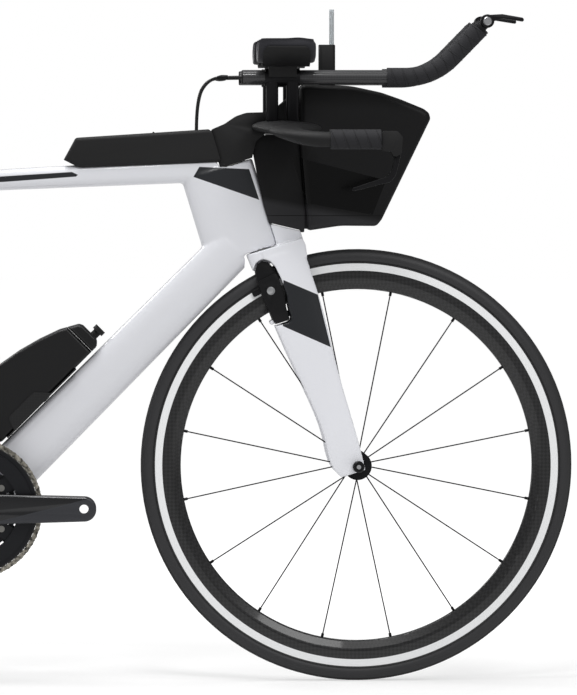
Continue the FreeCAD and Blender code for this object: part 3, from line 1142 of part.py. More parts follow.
# Storage box with its lid
box_points = share_points(cockpit(-BOX_REAR_SETBACK, -BOX_DROP), FORE, UP, BOX_LENGTH, BOX_HEIGHT, BOX_SHARES)
box = rounded_slab(box_points, [BOX_HEIGHT * share for share in BOX_CORNER_SHARES], BOX_HALF_WIDTH, BOX_EDGE)
box = box.cut(top_tube(-FIT_GAP / 4, 0, 1))
box = max(box.Solids, key=lambda solid: solid.Volume)
box = box.cut(steer_drum(STEM_SWEEP_RADIUS + BODY_GAP, AXLE_TO_CROWN, HEAD_TOP * 2))
box_rise = box_points[2] - box_points[1]
LID_ALONG = Vector(box_rise.x, 0, box_rise.z)
LID_ALONG.normalize()
LID_UP = Vector(-LID_ALONG.z, 0, LID_ALONG.x)
lid_rear = box_points[1] + LID_ALONG * LID_INSET
lid_front = lid_rear + LID_ALONG * LID_LENGTH
lid_drop = LID_UP * -LID_THICKNESS


def lid_slab(grow, depth, half_width):
    points = [lid_rear - LID_ALONG * grow - LID_UP * depth, lid_front + LID_ALONG * grow - LID_UP * depth,
              lid_front + LID_ALONG * grow + LID_UP * LID_THICKNESS,
              lid_rear - LID_ALONG * grow + LID_UP * LID_THICKNESS]
    return slab(points, 0, -half_width, half_width)


box = box.cut(lid_slab(FIT_GAP, LID_THICKNESS + FIT_GAP, LID_HALF_WIDTH + FIT_GAP))
box = box.cut(lid_slab(-LID_RIM, LID_CAVITY_DEPTH, LID_HALF_WIDTH - LID_RIM / 2))
for port_side in (-1, 1):
    port = Vector(cable_port.x, cable_port.y * port_side, cable_port.z)
    box = box.cut(rod(port - UP * FIT_GAP, port + UP * BOX_HEIGHT, CABLE_RADIUS + FIT_GAP))
keep("storage_box", box)
lid_outline = [lid_rear + lid_drop, lid_front + lid_drop, lid_front, lid_rear]
lid_half = LID_THICKNESS / 2
lid = slab(lid_outline, [lid_half * 0.96, lid_half * 0.4, lid_half * 0.4, lid_half * 0.96], -LID_HALF_WIDTH,
           LID_HALF_WIDTH)
lid_tab = rod(lid_front - LID_ALONG * LID_THICKNESS - SIDE * (LID_HALF_WIDTH / 2),
              lid_front - LID_ALONG * LID_THICKNESS + SIDE * (LID_HALF_WIDTH / 2), lid_half)
keep("storage_lid", fused([lid, lid_tab]))
# The lid turns about a sideways line through this point.
LID_HINGE = lid_rear + LID_ALONG * lid_half + lid_drop * 0.5

# Frame bottle, spout and cage
bottle_pieces = []
for bottle_shares, bottle_corner_shares in ((BOTTLE_BODY_SHARES, BOTTLE_BODY_CORNER_SHARES),
                                            (BOTTLE_CAP_SHARES, BOTTLE_CAP_CORNER_SHARES)):
    bottle_points = share_points(down(BOTTLE_START, BOTTLE_BASE), DOWN_ALONG, DOWN_UP, BOTTLE_LENGTH,
                                 BOTTLE_HEIGHT, bottle_shares)
    bottle_radii = [BOTTLE_HEIGHT * share for share in bottle_corner_shares]
    bottle_pieces.append(rounded_slab(bottle_points, bottle_radii, BOTTLE_HALF_WIDTH, BOTTLE_EDGE))
bottle_body, bottle_cap = bottle_pieces


def down_box(start, end, low, high, half_width):
    points = [down(start, low), down(end, low), down(end, high), down(start, high)]
    return slab(points, 0, -half_width, half_width)


bottle_end = BOTTLE_START + BOTTLE_LENGTH
spout_hole = rod(down(bottle_end - SPOUT_LENGTH, SPOUT_ABOVE), down(bottle_end + SPOUT_LENGTH, SPOUT_ABOVE),
                 SPOUT_RADIUS + RUNNING_CLEARANCE)
bottle_cap = bottle_cap.cut(spout_hole)
keep("bottle", [bottle_body, bottle_cap])
spout = fused([
    rod(down(bottle_end - SPOUT_LENGTH * 0.6, SPOUT_ABOVE), down(bottle_end + SPOUT_LENGTH, SPOUT_ABOVE),
        SPOUT_RADIUS),
    rod(down(bottle_end + SPOUT_LENGTH * 0.6, SPOUT_ABOVE),
        down(bottle_end + SPOUT_LENGTH * 1.2, SPOUT_ABOVE),
        SPOUT_FLANGE_RADIUS)])
keep("bottle_spout", spout)
cage_top = BOTTLE_BASE - FIT_GAP
cage_low = cage_top - CAGE_WALL
cage_side = BOTTLE_HALF_WIDTH + FIT_GAP
cage = down_box(CAGE_START, CAGE_START + CAGE_LENGTH, cage_low, cage_top, cage_side + CAGE_WALL)
cheek_start = CAGE_START + CAGE_LENGTH * 0.1
cheek_end = CAGE_START + CAGE_LENGTH * 0.66
cheek_points = [down(cheek_start, cage_low), down(cheek_end, cage_low),
                down(cheek_end - CAGE_RISE, cage_top + CAGE_RISE),
                down(cheek_start + CAGE_RISE * 0.4, cage_top + CAGE_RISE)]
cheek = slab(cheek_points, [0, 0, CAGE_RISE * 0.4, CAGE_RISE * 0.4], cage_side, cage_side + CAGE_WALL)
cage_bodies = [cage, cheek, mirrored(cheek)]
for along in (CAGE_START + CAGE_BOSS_FIRST, CAGE_START + CAGE_BOSS_FIRST + CAGE_BOSS_PITCH):
    cage_bodies.append(rod(down(along, DOWN_TUBE_DEPTH_HIGH * 0.48), down(along, cage_top), CAGE_BOSS_RADIUS))
cage = fused(cage_bodies).cut(down_tube(-FIT_GAP / 8, 0, 1))
cage = max(cage.Solids, key=lambda solid: solid.Volume)
keep("bottle_cage", cage)

# Seatpost and saddle
post_top = SEAT_TUBE_TOP + SEATPOST_EXPOSED
seatpost = loft([
    soft_section(seat(SEAT_TUBE_TOP - SEATPOST_INSERT + FIT_GAP), SEAT_FORE, SIDE, SEATPOST_HALF_WIDTH,
                 SEATPOST_FRONT, SEATPOST_BACK),
    soft_section(seat(post_top), SEAT_FORE, SIDE, SEATPOST_HALF_WIDTH, SEATPOST_FRONT, SEATPOST_BACK)])
SADDLE = seat(post_top)
clamp_length = SEATPOST_FRONT + SEATPOST_BACK
clamp_half = RAIL_SPAN + RAIL_RADIUS * 2
rail_clamp = Part.makeBox(clamp_length, clamp_half * 2, RAIL_RADIUS * 4,
                          SADDLE + Vector(-clamp_length / 2, -clamp_half, -RAIL_RADIUS * 2))
rail_clamp = rail_clamp.makeFillet(RAIL_RADIUS, rail_clamp.Edges)
for rail_side in (-1, 1):
    rail_line = SADDLE + SIDE * (RAIL_SPAN * rail_side)
    rail_clamp = rail_clamp.cut(rod(rail_line - FORE * RAIL_LENGTH, rail_line + FORE * RAIL_LENGTH,
                                    RAIL_RADIUS + RUNNING_CLEARANCE / 4))
keep("seatpost", fused([seatpost, rail_clamp]))
saddle_sections = []
for along, width, height in SADDLE_SHARES:
    centre = SADDLE + Vector(SADDLE_NOSE_FORWARD - SADDLE_LENGTH * along, 0, SADDLE_RISE)
    saddle_sections.append(soft_section(centre, UP, SIDE, SADDLE_HALF_WIDTH * width,
                                        SADDLE_HEIGHT * 0.5 * height,
                                        SADDLE_HEIGHT * 0.5 * height, 2.6, 2.0))
saddle = loft(saddle_sections)
split = Part.makeBox(SADDLE_LENGTH * 2, SADDLE_HALF_WIDTH * 4, SADDLE_HEIGHT,
                     SADDLE + Vector(-SADDLE_LENGTH, -SADDLE_HALF_WIDTH * 2,
                                     SADDLE_RISE - SADDLE_HEIGHT * 0.2))
shell = saddle.cut(split)
split.translate(UP * FIT_GAP / 2)
cover = saddle.common(split)
channel_level = SADDLE + UP * (SADDLE_RISE + SADDLE_HEIGHT * 0.5)
channel = rod(channel_level + FORE * SADDLE_NOSE_FORWARD * 0.7, channel_level - FORE * SADDLE_LENGTH * 0.2,
              SADDLE_CHANNEL)
cover = cover.cut(channel)
keep("saddle_cover", cover)
rail_front = SADDLE + FORE * (SADDLE_NOSE_FORWARD * 0.8)
rail_rear = SADDLE - FORE * (SADDLE_LENGTH * 0.33)
rail_points = [rail_front + UP * SADDLE_RISE * 0.8, SADDLE + FORE * (SADDLE_NOSE_FORWARD * 0.55),
               SADDLE - FORE * (SADDLE_LENGTH * 0.2), rail_rear + UP * SADDLE_RISE * 0.8]
rail_points = [point + SIDE * RAIL_SPAN * RAIL_NOSE_SHARE for point in rail_points[:1]] + [
    point + SIDE * RAIL_SPAN for point in rail_points[1:]]
rail_path = bent_path(rail_points, RAIL_RADIUS * 5)
rail_start_direction = rail_points[1] - rail_points[0]
rail = pipe(rail_path, rail_points[0], rail_start_direction, RAIL_RADIUS)
rail = rail.cut(split)
shell = shell.cut(rail).cut(mirrored(rail))
keep("saddle_shell", max(shell.Solids, key=lambda solid: solid.Volume))
keep("saddle_rails", both_sides(rail))


# Drivetrain: pitch circles, chain path and sprockets
def pitch_radius(teeth):
    return CHAIN_PITCH / 2 / math.sin(math.pi / teeth)


GUIDE = REAR_AXLE + Vector(GUIDE_FORWARD, 0, -GUIDE_DROP)
DRIVE_TEETH = CASSETTE_TEETH[DRIVE_SPROCKET]


def chain_wheels(cage_angle):
    """Centre, teeth and turning sense of each wheel in the order that the chain meets them."""
    tension = GUIDE + Vector(math.cos(cage_angle), 0, math.sin(cage_angle)) * CAGE_ARM
    return [(REAR_AXLE, DRIVE_TEETH, -1), (BOTTOM_BRACKET, BIG_RING_TEETH, -1), (tension, PULLEY_TEETH, -1),
            (GUIDE, PULLEY_TEETH, 1)]


def chain_runs(wheels):
    """Direction and length of the straight run that leaves each wheel."""
    runs = []
    for index, (centre, teeth, sense) in enumerate(wheels):
        following, following_teeth, following_sense = wheels[(index + 1) % len(wheels)]
        run = following - centre
        offset = following_sense * pitch_radius(following_teeth) - sense * pitch_radius(teeth)
        heading = math.atan2(run.z, run.x) - math.asin(offset / run.Length)
        runs.append((heading, math.sqrt(run.Length ** 2 - offset ** 2)))
    return runs


def wrap_angle(wheels, runs, index):
    """Angle through which the chain turns on a wheel."""
    sense = wheels[index][2]
    turn = sense * (runs[index][0] - runs[index - 1][0])
    return turn % (2 * math.pi)


def chain_count(cage_angle):
    wheels = chain_wheels(cage_angle)
    runs = chain_runs(wheels)
    count = 0
    for index, (centre, teeth, sense) in enumerate(wheels):
        count += wrap_angle(wheels, runs, index) * teeth / (2 * math.pi) + runs[index][1] / CHAIN_PITCH
    return count


def solve_cage(first, second):
    """Cage angle at which the chain has an even whole number of links."""
    wanted = 2 * round(chain_count((first + second) / 2) / 2)
    low, high = first, second
    rising = chain_count(high) > chain_count(low)
    for step in range(60):
        middle = (low + high) / 2
        if (chain_count(middle) < wanted) == rising:
            low = middle
        else:
            high = middle
    return (low + high) / 2, wanted


CAGE_ANGLE, LINK_COUNT = solve_cage(math.radians(CAGE_LOW_DEG), math.radians(CAGE_HIGH_DEG))
WHEELS = chain_wheels(CAGE_ANGLE)
RUNS = chain_runs(WHEELS)
TENSION = WHEELS[2][0]


def chain_pins():
    """Every pin of the chain, and the angle of the first pin on each wheel."""
    pins = []
    phases = []
    carry = 0
    for index, (centre, teeth, sense) in enumerate(WHEELS):
        radius = pitch_radius(teeth)
        step = 2 * math.pi / teeth
        start = RUNS[index - 1][0] - sense * math.pi / 2
        wrap_count = wrap_angle(WHEELS, RUNS, index) / step
        first_angle = start + sense * carry * step
        phases.append(first_angle)
        place = carry
        while place < wrap_count - 1e-9:
            angle = start + sense * place * step
            pins.append(centre + Vector(math.cos(angle), 0, math.sin(angle)) * radius)
            place += 1
        carry = place - wrap_count
        heading, length = RUNS[index]
        end_angle = heading - sense * math.pi / 2
        leave = centre + Vector(math.cos(end_angle), 0, math.sin(end_angle)) * radius
        along = Vector(math.cos(heading), 0, math.sin(heading))
        run_count = length / CHAIN_PITCH
        place = carry
        while place < run_count - 1e-9:
            pins.append(leave + along * (place * CHAIN_PITCH))
            place += 1
        carry = place - run_count
    return pins[:LINK_COUNT], phases


PINS, PHASES = chain_pins()


def link_plate(low, high, pinch):
    half = PLATE_HALF_HEIGHT
    reach = CHAIN_PITCH / 2 + half
    corners = [Vector(-reach, 0, -half), Vector(0, 0, -half * pinch), Vector(reach, 0, -half),
               Vector(reach, 0, half),
               Vector(0, 0, half * pinch), Vector(-reach, 0, half)]
    return slab(corners, [half * 0.98, half * 2, half * 0.98, half * 0.98, half * 2, half * 0.98], low, high)


def outer_link():
    inner = CHAIN_INNER_HALF + PLATE_THICKNESS + PLATE_GAP
    outer = inner + PLATE_THICKNESS
    bodies = [link_plate(inner, outer, 0.72), link_plate(-outer, -inner, 0.72)]
    for end in (-1, 1):
        bodies.append(disc(Vector(end * CHAIN_PITCH / 2, 0, 0), PIN_RADIUS, -outer, outer))
    return fused(bodies)


def inner_link():
    outer = CHAIN_INNER_HALF + PLATE_THICKNESS
    bodies = [link_plate(CHAIN_INNER_HALF, outer, 0.72), link_plate(-outer, -CHAIN_INNER_HALF, 0.72)]
    for end in (-1, 1):
        bodies.append(disc(Vector(end * CHAIN_PITCH / 2, 0, 0), ROLLER_RADIUS, -outer * 0.9, outer * 0.9))
    link = fused(bodies)
    for end in (-1, 1):
        link = link.cut(disc(Vector(end * CHAIN_PITCH / 2, 0, 0), PIN_RADIUS + PIN_CLEARANCE, -outer * 2,
                             outer * 2))
    return link


LINKS = (outer_link(), inner_link())
chain_links = []
for index, pin in enumerate(PINS):
    following = PINS[(index + 1) % LINK_COUNT]
    run = following - pin
    middle = (pin + following) * 0.5
    turn = FreeCAD.Rotation(SIDE, -math.degrees(math.atan2(run.z, run.x)))
    link = LINKS[index % 2].copy()
    link.Placement = FreeCAD.Placement(Vector(middle.x, CHAIN_Y, middle.z), turn)
    chain_links.append(link)
keep("chain", chain_links)


def sprocket(centre, teeth, thickness, middle, phase, bore):
    """A toothed wheel with a gap between teeth at the phase angle."""
    radius = pitch_radius(teeth)
    root = radius - ROLLER_RADIUS - ROOT_CLEARANCE
    tip = radius + TOOTH_RISE
    points = []
    for tooth in range(teeth):
        angle = phase + 2 * math.pi * (tooth + 0.5) / teeth
        for level, half in ((root, -TOOTH_ROOT_HALF), (tip, -TOOTH_TIP_HALF), (tip, TOOTH_TIP_HALF),
                            (root, TOOTH_ROOT_HALF)):
            place = angle + math.asin(half / level)
            points.append(Vector(centre.x + level * math.cos(place), middle - thickness / 2,
                                 centre.z + level * math.sin(place)))
    outline = Part.Face(Part.makePolygon(points + points[:1]))
    wheel = outline.extrude(SIDE * thickness)
    return wheel.cut(disc(centre, bore, middle - thickness, middle + thickness))


cassette = []
for index, teeth in enumerate(CASSETTE_TEETH):
    level = -SPROCKET_OUTER_OFFSET + index * SPROCKET_PITCH
    phase = PHASES[0] if index == DRIVE_SPROCKET else 0
    cassette.append(sprocket(REAR_AXLE, teeth, SPROCKET_THICKNESS, level, phase,
                             FREEHUB_RADIUS + RUNNING_CLEARANCE))
    if index > 0:
        spacer_low = level - SPROCKET_PITCH + SPROCKET_THICKNESS / 2 + RUNNING_CLEARANCE
        spacer_high = level - SPROCKET_THICKNESS / 2 - RUNNING_CLEARANCE
        spacer = disc(REAR_AXLE, FREEHUB_RADIUS * 1.12, spacer_low, spacer_high)
        cassette.append(spacer.cut(disc(REAR_AXLE, FREEHUB_RADIUS + RUNNING_CLEARANCE, -REAR_AXLE_WIDTH,
                                        REAR_AXLE_WIDTH)))
freehub_high = -REAR_RIGHT_FLANGE_OFFSET - FLANGE_THICKNESS * 1.5 - FIT_GAP
freehub_low = -SPROCKET_OUTER_OFFSET - SPROCKET_THICKNESS * 1.2
freehub = disc(REAR_AXLE, FREEHUB_RADIUS, freehub_low, freehub_high)
cassette.append(freehub.cut(disc(REAR_AXLE, HUB_BORE_RADIUS, -REAR_AXLE_WIDTH, REAR_AXLE_WIDTH)))
keep("cassette", cassette)


def ring_point(radius, angle):
    return BOTTOM_BRACKET + Vector(math.cos(angle), 0, math.sin(angle)) * radius


SMALL_RING_Y = CHAIN_Y + RING_SPACING
ring_bodies = []
spider_bodies = []
bolt_bodies = []
big_ring = sprocket(BOTTOM_BRACKET, BIG_RING_TEETH, SPROCKET_THICKNESS, CHAIN_Y, PHASES[1],
                    BIG_RING_INNER_RADIUS)
small_ring = sprocket(BOTTOM_BRACKET, SMALL_RING_TEETH, SPROCKET_THICKNESS, SMALL_RING_Y, 0,
                      SMALL_RING_INNER_RADIUS)
cover_low = CHAIN_Y - SPROCKET_THICKNESS / 2 - RING_COVER_THICKNESS
cover_ring = disc(BOTTOM_BRACKET, pitch_radius(BIG_RING_TEETH) - RING_COVER_INSET, cover_low, CHAIN_Y)
cover_ring = cover_ring.cut(disc(BOTTOM_BRACKET, BIG_RING_INNER_RADIUS, cover_low * 2, 0))
big_parts = [big_ring, cover_ring]
small_parts = [small_ring]
spider_low = CHAIN_Y + SPROCKET_THICKNESS / 2 + RUNNING_CLEARANCE
spider_high = SMALL_RING_Y - SPROCKET_THICKNESS / 2 - RUNNING_CLEARANCE
for angle_deg in SPIDER_ANGLES_DEG:
    angle = math.radians(angle_deg)
    tab = ring_point(RING_BOLT_CIRCLE, angle)
    tab_half = SPIDER_ARM_WIDTH / 2
    big_parts.append(capsule(tab, ring_point(BIG_RING_INNER_RADIUS + tab_half * 0.5, angle), tab_half,
                             CHAIN_Y - SPROCKET_THICKNESS / 2, CHAIN_Y + SPROCKET_THICKNESS / 2))
    small_parts.append(capsule(tab, ring_point(SMALL_RING_INNER_RADIUS + tab_half * 0.3, angle),
                               tab_half * 0.8,
                               SMALL_RING_Y - SPROCKET_THICKNESS / 2, SMALL_RING_Y + SPROCKET_THICKNESS / 2))
    spider_bodies.append(capsule(BOTTOM_BRACKET, tab, tab_half, spider_low, spider_high))
    bolt_bodies.append(disc(tab, RING_BOLT_RADIUS, CHAIN_Y - SPROCKET_THICKNESS,
                            SMALL_RING_Y + SPROCKET_THICKNESS))
bolt_holes = Part.makeCompound([disc(ring_point(RING_BOLT_CIRCLE, math.radians(a)),
                                     RING_BOLT_RADIUS + RUNNING_CLEARANCE,
                                     CHAIN_Y * 2, 0) for a in SPIDER_ANGLES_DEG])
keep("chainrings", [fused(big_parts).cut(bolt_holes), fused(small_parts).cut(bolt_holes)])
keep("chainring_bolts", bolt_bodies)


def crank_arm(direction, low, high, outer):
    end = BOTTOM_BRACKET + FORE * (CRANK_LENGTH * direction)
    hub_back = FORE * (CRANK_HUB_RADIUS * -direction)
    end_front = FORE * (CRANK_END_RADIUS * direction)
    corners = [BOTTOM_BRACKET + hub_back + UP * CRANK_HUB_RADIUS,
               BOTTOM_BRACKET + hub_back - UP * CRANK_HUB_RADIUS,
               end + end_front - UP * CRANK_END_RADIUS, end + end_front + UP * CRANK_END_RADIUS]
    arm = slab(corners, [CRANK_HUB_RADIUS * 0.97, CRANK_HUB_RADIUS * 0.97, CRANK_END_RADIUS * 0.97,
                         CRANK_END_RADIUS * 0.97],
               low, high)
    rims = [line for line in arm.Edges if abs(line.CenterOfMass.y - outer) < 1e-4]
    arm = arm.makeFillet(CRANK_EDGE, rims)
    return arm.cut(disc(end, PEDAL_THREAD_RADIUS, low * 2 - high, high * 2 - low)), end


right_arm, RIGHT_PEDAL = crank_arm(1, -CRANK_OUTER, -CRANK_INNER, -CRANK_OUTER)
right_hub = disc(BOTTOM_BRACKET, CRANK_HUB_RADIUS * 0.9, -CRANK_INNER, -BB_SHELL_WIDTH / 2 - BODY_GAP)
spindle = disc(BOTTOM_BRACKET, SPINDLE_RADIUS, -CRANK_INNER, CRANK_OUTER - CRANK_EDGE)
right_hub = right_hub.cut(disc(BOTTOM_BRACKET, CRANK_HUB_RADIUS, spider_high, 0))
cup_room = disc(BOTTOM_BRACKET, CRANK_HUB_RADIUS + BODY_GAP, -BB_SHELL_WIDTH / 2 - BODY_GAP, 0)
spider = fused([right_hub] + spider_bodies).cut(cup_room)
crank_right = fused([spider, right_arm, spindle]).cut(bolt_holes)
keep("crank_right", crank_right)
left_arm, LEFT_PEDAL = crank_arm(-1, CRANK_INNER, CRANK_OUTER, CRANK_OUTER)
left_hub = disc(BOTTOM_BRACKET, CRANK_HUB_RADIUS * 0.9, BB_SHELL_WIDTH / 2 + BODY_GAP, CRANK_INNER)
crank_left = fused([left_arm, left_hub]).cut(disc(BOTTOM_BRACKET, SPINDLE_RADIUS + RUNNING_CLEARANCE / 4, 0,
                                                  CRANK_OUTER * 2))
keep("crank_left", crank_left)

# Rear derailleur
knuckle_high = -REAR_AXLE_WIDTH / 2 - DROPOUT_THICKNESS - FIT_GAP / 2
knuckle_low = knuckle_high - KNUCKLE_WIDTH
knuckle_end = REAR_AXLE + Vector(GUIDE_FORWARD * 0.5, 0, KNUCKLE_RADIUS - KNUCKLE_REACH)
knuckle = capsule(HANGER, knuckle_end, KNUCKLE_RADIUS, knuckle_low, knuckle_high)
knuckle = knuckle.cut(disc(HANGER, BOLT_RADIUS + RUNNING_CLEARANCE, knuckle_low * 2, 0))
hanger_bolt = fused([
    disc(HANGER, BOLT_RADIUS, knuckle_low - BOLT_HEAD_HEIGHT, -REAR_AXLE_WIDTH / 2 - RUNNING_CLEARANCE),
    disc(HANGER, BOLT_HEAD_RADIUS, knuckle_low - BOLT_HEAD_HEIGHT, knuckle_low - FIT_GAP / 4)])
keep("rd_knuckle", [knuckle, hanger_bolt])
plate_half = CAGE_PLATE_THICKNESS / 2
outer_plate = CHAIN_Y - CAGE_PLATE_OFFSET
inner_plate = CHAIN_Y + CAGE_PLATE_OFFSET
carrier_top = REAR_AXLE + Vector(GUIDE_FORWARD * 0.5, 0, -KNUCKLE_REACH - DERAILLEUR_GAP)
carrier_points = [carrier_top - FORE * KNUCKLE_RADIUS, carrier_top + FORE * KNUCKLE_RADIUS,
                  GUIDE + FORE * KNUCKLE_RADIUS - UP * KNUCKLE_RADIUS,
                  GUIDE - FORE * KNUCKLE_RADIUS - UP * KNUCKLE_RADIUS]
carrier = slab(carrier_points, KNUCKLE_RADIUS * 0.5, knuckle_low, outer_plate - plate_half - FIT_GAP)
keep("rd_carrier", carrier)
plates = []
for level in (outer_plate, inner_plate):
    plates.append(capsule(GUIDE, TENSION, CAGE_PLATE_HALF_WIDTH, level - plate_half, level + plate_half))
for pivot in (GUIDE, TENSION):
    plates.append(disc(pivot, PULLEY_BOLT_RADIUS, outer_plate - plate_half, inner_plate + plate_half))
keep("rd_cage", fused(plates))
for name, pivot, phase in (("guide_pulley", GUIDE, PHASES[3]), ("tension_pulley", TENSION, PHASES[2])):
    hub_half = CAGE_PLATE_OFFSET - plate_half - FIT_GAP
    pulley = fused([sprocket(pivot, PULLEY_TEETH, PULLEY_THICKNESS, CHAIN_Y, phase, PULLEY_BOLT_RADIUS * 1.5),
                    disc(pivot, PULLEY_BOLT_RADIUS * 2, CHAIN_Y - hub_half, CHAIN_Y + hub_half)])
    keep(name, pulley.cut(disc(pivot, PULLEY_BOLT_RADIUS + RUNNING_CLEARANCE, CHAIN_Y * 2, 0)))

# Front derailleur
front_low = pitch_radius(BIG_RING_TEETH) + PLATE_HALF_HEIGHT + FRONT_CAGE_RISE
front_high = front_low + FRONT_CAGE_HEIGHT
sector = [BOTTOM_BRACKET, ring_point(front_high * 1.5, math.radians(FRONT_CAGE_START_DEG)),
          ring_point(front_high * 1.5, math.radians(FRONT_CAGE_END_DEG))]
front_inner = CHAIN_INNER_HALF + PLATE_THICKNESS * 2 + FRONT_CAGE_GAP


def front_cage_ring(low, high, left, right):
    ring = disc(BOTTOM_BRACKET, high, left, right).cut(disc(BOTTOM_BRACKET, low, left * 2, 0))
    return ring.common(slab(sector, 0, left, right))


fd_outer = front_cage_ring(front_low, front_high, CHAIN_Y - front_inner - FRONT_CAGE_WALL,
                           CHAIN_Y - front_inner)
fd_inner = front_cage_ring(front_low, front_high, CHAIN_Y + front_inner,
                           CHAIN_Y + front_inner + FRONT_CAGE_WALL)
fd_bridge = front_cage_ring(front_high - FRONT_CAGE_WALL * 2, front_high,
                            CHAIN_Y - front_inner - FRONT_CAGE_WALL,
                            CHAIN_Y + front_inner + FRONT_CAGE_WALL)
FD_PIVOT = ring_point(front_high + FRONT_PIVOT_RISE, math.radians(FRONT_MOUNT_DEG)) + SIDE * (
    CHAIN_Y + front_inner + FRONT_CAGE_WALL + FRONT_PIVOT_RISE)
fd_axis_half = FRONT_MOUNT_LENGTH / 2
fd_arm_half = FORE * (fd_axis_half * FRONT_ARM_SHARE)
fd_arm_top = Vector(FD_PIVOT.x, 0, FD_PIVOT.z)
fd_arm_foot = ring_point(front_high - FRONT_CAGE_WALL, math.radians(FRONT_MOUNT_DEG))
fd_arm_points = [fd_arm_top - fd_arm_half, fd_arm_top + fd_arm_half, fd_arm_foot + fd_arm_half,
                 fd_arm_foot - fd_arm_half]
fd_arm = slab(fd_arm_points, 0, CHAIN_Y + front_inner, FD_PIVOT.y)
fd_axis = FORE * fd_axis_half
fd_barrel = rod(FD_PIVOT - fd_axis * FRONT_BARREL_SHARE, FD_PIVOT + fd_axis * FRONT_BARREL_SHARE,
                FRONT_BARREL_RADIUS)
fd_pin_radius = PULLEY_BOLT_RADIUS * 0.6
fd_cage = fused([fd_outer, fd_inner, fd_bridge, fd_arm, fd_barrel])
fd_cage = fd_cage.cut(rod(FD_PIVOT - fd_axis, FD_PIVOT + fd_axis, fd_pin_radius + RUNNING_CLEARANCE))
keep("fd_cage", fd_cage)
fd_pin = rod(FD_PIVOT - fd_axis, FD_PIVOT + fd_axis, fd_pin_radius)
fd_ears = []
for ear in (-1, 1):
    ear_start = FD_PIVOT.x + ear * fd_axis_half * FRONT_EAR_SHARE
    fd_ears.append(Part.makeBox(fd_axis_half * 0.3, -FD_PIVOT.y + FRONT_BARREL_RADIUS,
                                FRONT_BARREL_RADIUS * 2,
                                Vector(ear_start - fd_axis_half * 0.15, FD_PIVOT.y - FRONT_BARREL_RADIUS,
                                       FD_PIVOT.z - FRONT_BARREL_RADIUS)))
fd_base = Part.makeBox(fd_axis_half * 1.9, SEAT_TUBE_HALF_WIDTH * 1.4, FRONT_BARREL_RADIUS * 2,
                       Vector(FD_PIVOT.x - fd_axis_half * 0.95, -SEAT_TUBE_HALF_WIDTH * 1.4,
                              FD_PIVOT.z - FRONT_BARREL_RADIUS))
fd_mount = fused([fd_pin] + fd_ears + [fd_base])
fd_mount = fd_mount.cut(seat_tube(-FIT_GAP / 8, -0.02, 1))
fd_mount = max(fd_mount.Solids, key=lambda solid: solid.Volume)
keep("fd_mount", fd_mount)


# Brakes
def wheel_point(centre, angle, radius, along, left=0):
    """A point given along the wheel radius at an angle, and along the rim from there."""
    out = Vector(math.cos(angle), 0, math.sin(angle))
    rim_way = Vector(math.sin(angle), 0, -math.cos(angle))
    return centre + out * radius + rim_way * along + SIDE * left


def brake_outline(centre, angle, shares):
    base = BRAKE_PIVOT_RADIUS - BRAKE_ARM_WIDTH * 0.2
    return [wheel_point(centre, angle, base + BRAKE_ARM_LENGTH * u, BRAKE_ARM_WIDTH * v) for u, v in shares]


def brake_arm(centre, angle):
    """Left arm of a linear-pull brake with its pad and pad bolt."""
    arm = slab(brake_outline(centre, angle, BRAKE_SHARES), BRAKE_ARM_WIDTH * 0.1, BRAKE_ARM_INNER,
               BRAKE_ARM_OUTER)
    thick = slab(brake_outline(centre, angle, BRAKE_THICK_SHARES), BRAKE_ARM_WIDTH * 0.1, BRAKE_ARM_INNER,
                 BRAKE_ARM_FULL)
    track = RIM_OUTER_RADIUS - BRAKE_TRACK / 2
    half = BRAKE_PAD_HEIGHT / 2
    pad_points = [wheel_point(centre, angle, track + r * half, q * BRAKE_PAD_LENGTH) for r, q in
                  ((-1, -0.58), (-1, 0.42), (1, 0.42), (1, -0.58))]
    pad_block = slab(pad_points, half * 0.5, RIM_WIDTH / 2 + BRAKE_PAD_GAP, BRAKE_ARM_INNER + FIT_GAP)
    stud_start = wheel_point(centre, angle, BRAKE_PIVOT_RADIUS, -BRAKE_ARM_WIDTH * 2, BRAKE_STUD_OFFSET)
    stud_end = wheel_point(centre, angle, BRAKE_PIVOT_RADIUS, BRAKE_ARM_WIDTH * 2, BRAKE_STUD_OFFSET)
    arm = fused([arm, thick, pad_block]).cut(rod(stud_start, stud_end, BRAKE_STUD_RADIUS + RUNNING_CLEARANCE))
    bolt_centre = wheel_point(centre, angle, track - half, 0)
    bolt_hole = disc(bolt_centre, PAD_BOLT_RADIUS + RUNNING_CLEARANCE / 4, BRAKE_ARM_FULL - PAD_BOLT_SINK,
                     BRAKE_ARM_FULL * 2)
    bolt = disc(bolt_centre, PAD_BOLT_RADIUS, BRAKE_ARM_FULL - PAD_BOLT_SINK,
                BRAKE_ARM_FULL + PAD_BOLT_SINK * 0.3)
    return [arm.cut(bolt_hole), bolt]


FRONT_BRAKE_ANGLE = math.radians(FRONT_BRAKE_ANGLE_DEG)
REAR_BRAKE_ANGLE = math.radians(REAR_BRAKE_ANGLE_DEG)
for name, centre, angle in (("front_brake_arm", FRONT_AXLE, FRONT_BRAKE_ANGLE),
                            ("rear_brake_arm", REAR_AXLE, REAR_BRAKE_ANGLE)):
    arm_bodies = brake_arm(centre, angle)
    keep(name + "_left", arm_bodies)
    keep(name + "_right", [mirrored(body) for body in arm_bodies])
notch_points = brake_outline(FRONT_AXLE, FRONT_BRAKE_ANGLE, BRAKE_SHARES)
notch_face = Part.Face(corner_wire([Vector(p.x, WHEEL_SLOT_HALF_WIDTH * 0.6, p.z) for p in notch_points],
                                   BRAKE_ARM_WIDTH * 0.1))
notch_body = notch_face.makeOffset2D(BRAKE_NOTCH_GAP).extrude(SIDE * CROWN_HALF_WIDTH)
fork = fork.cut(notch_body).cut(mirrored(notch_body))
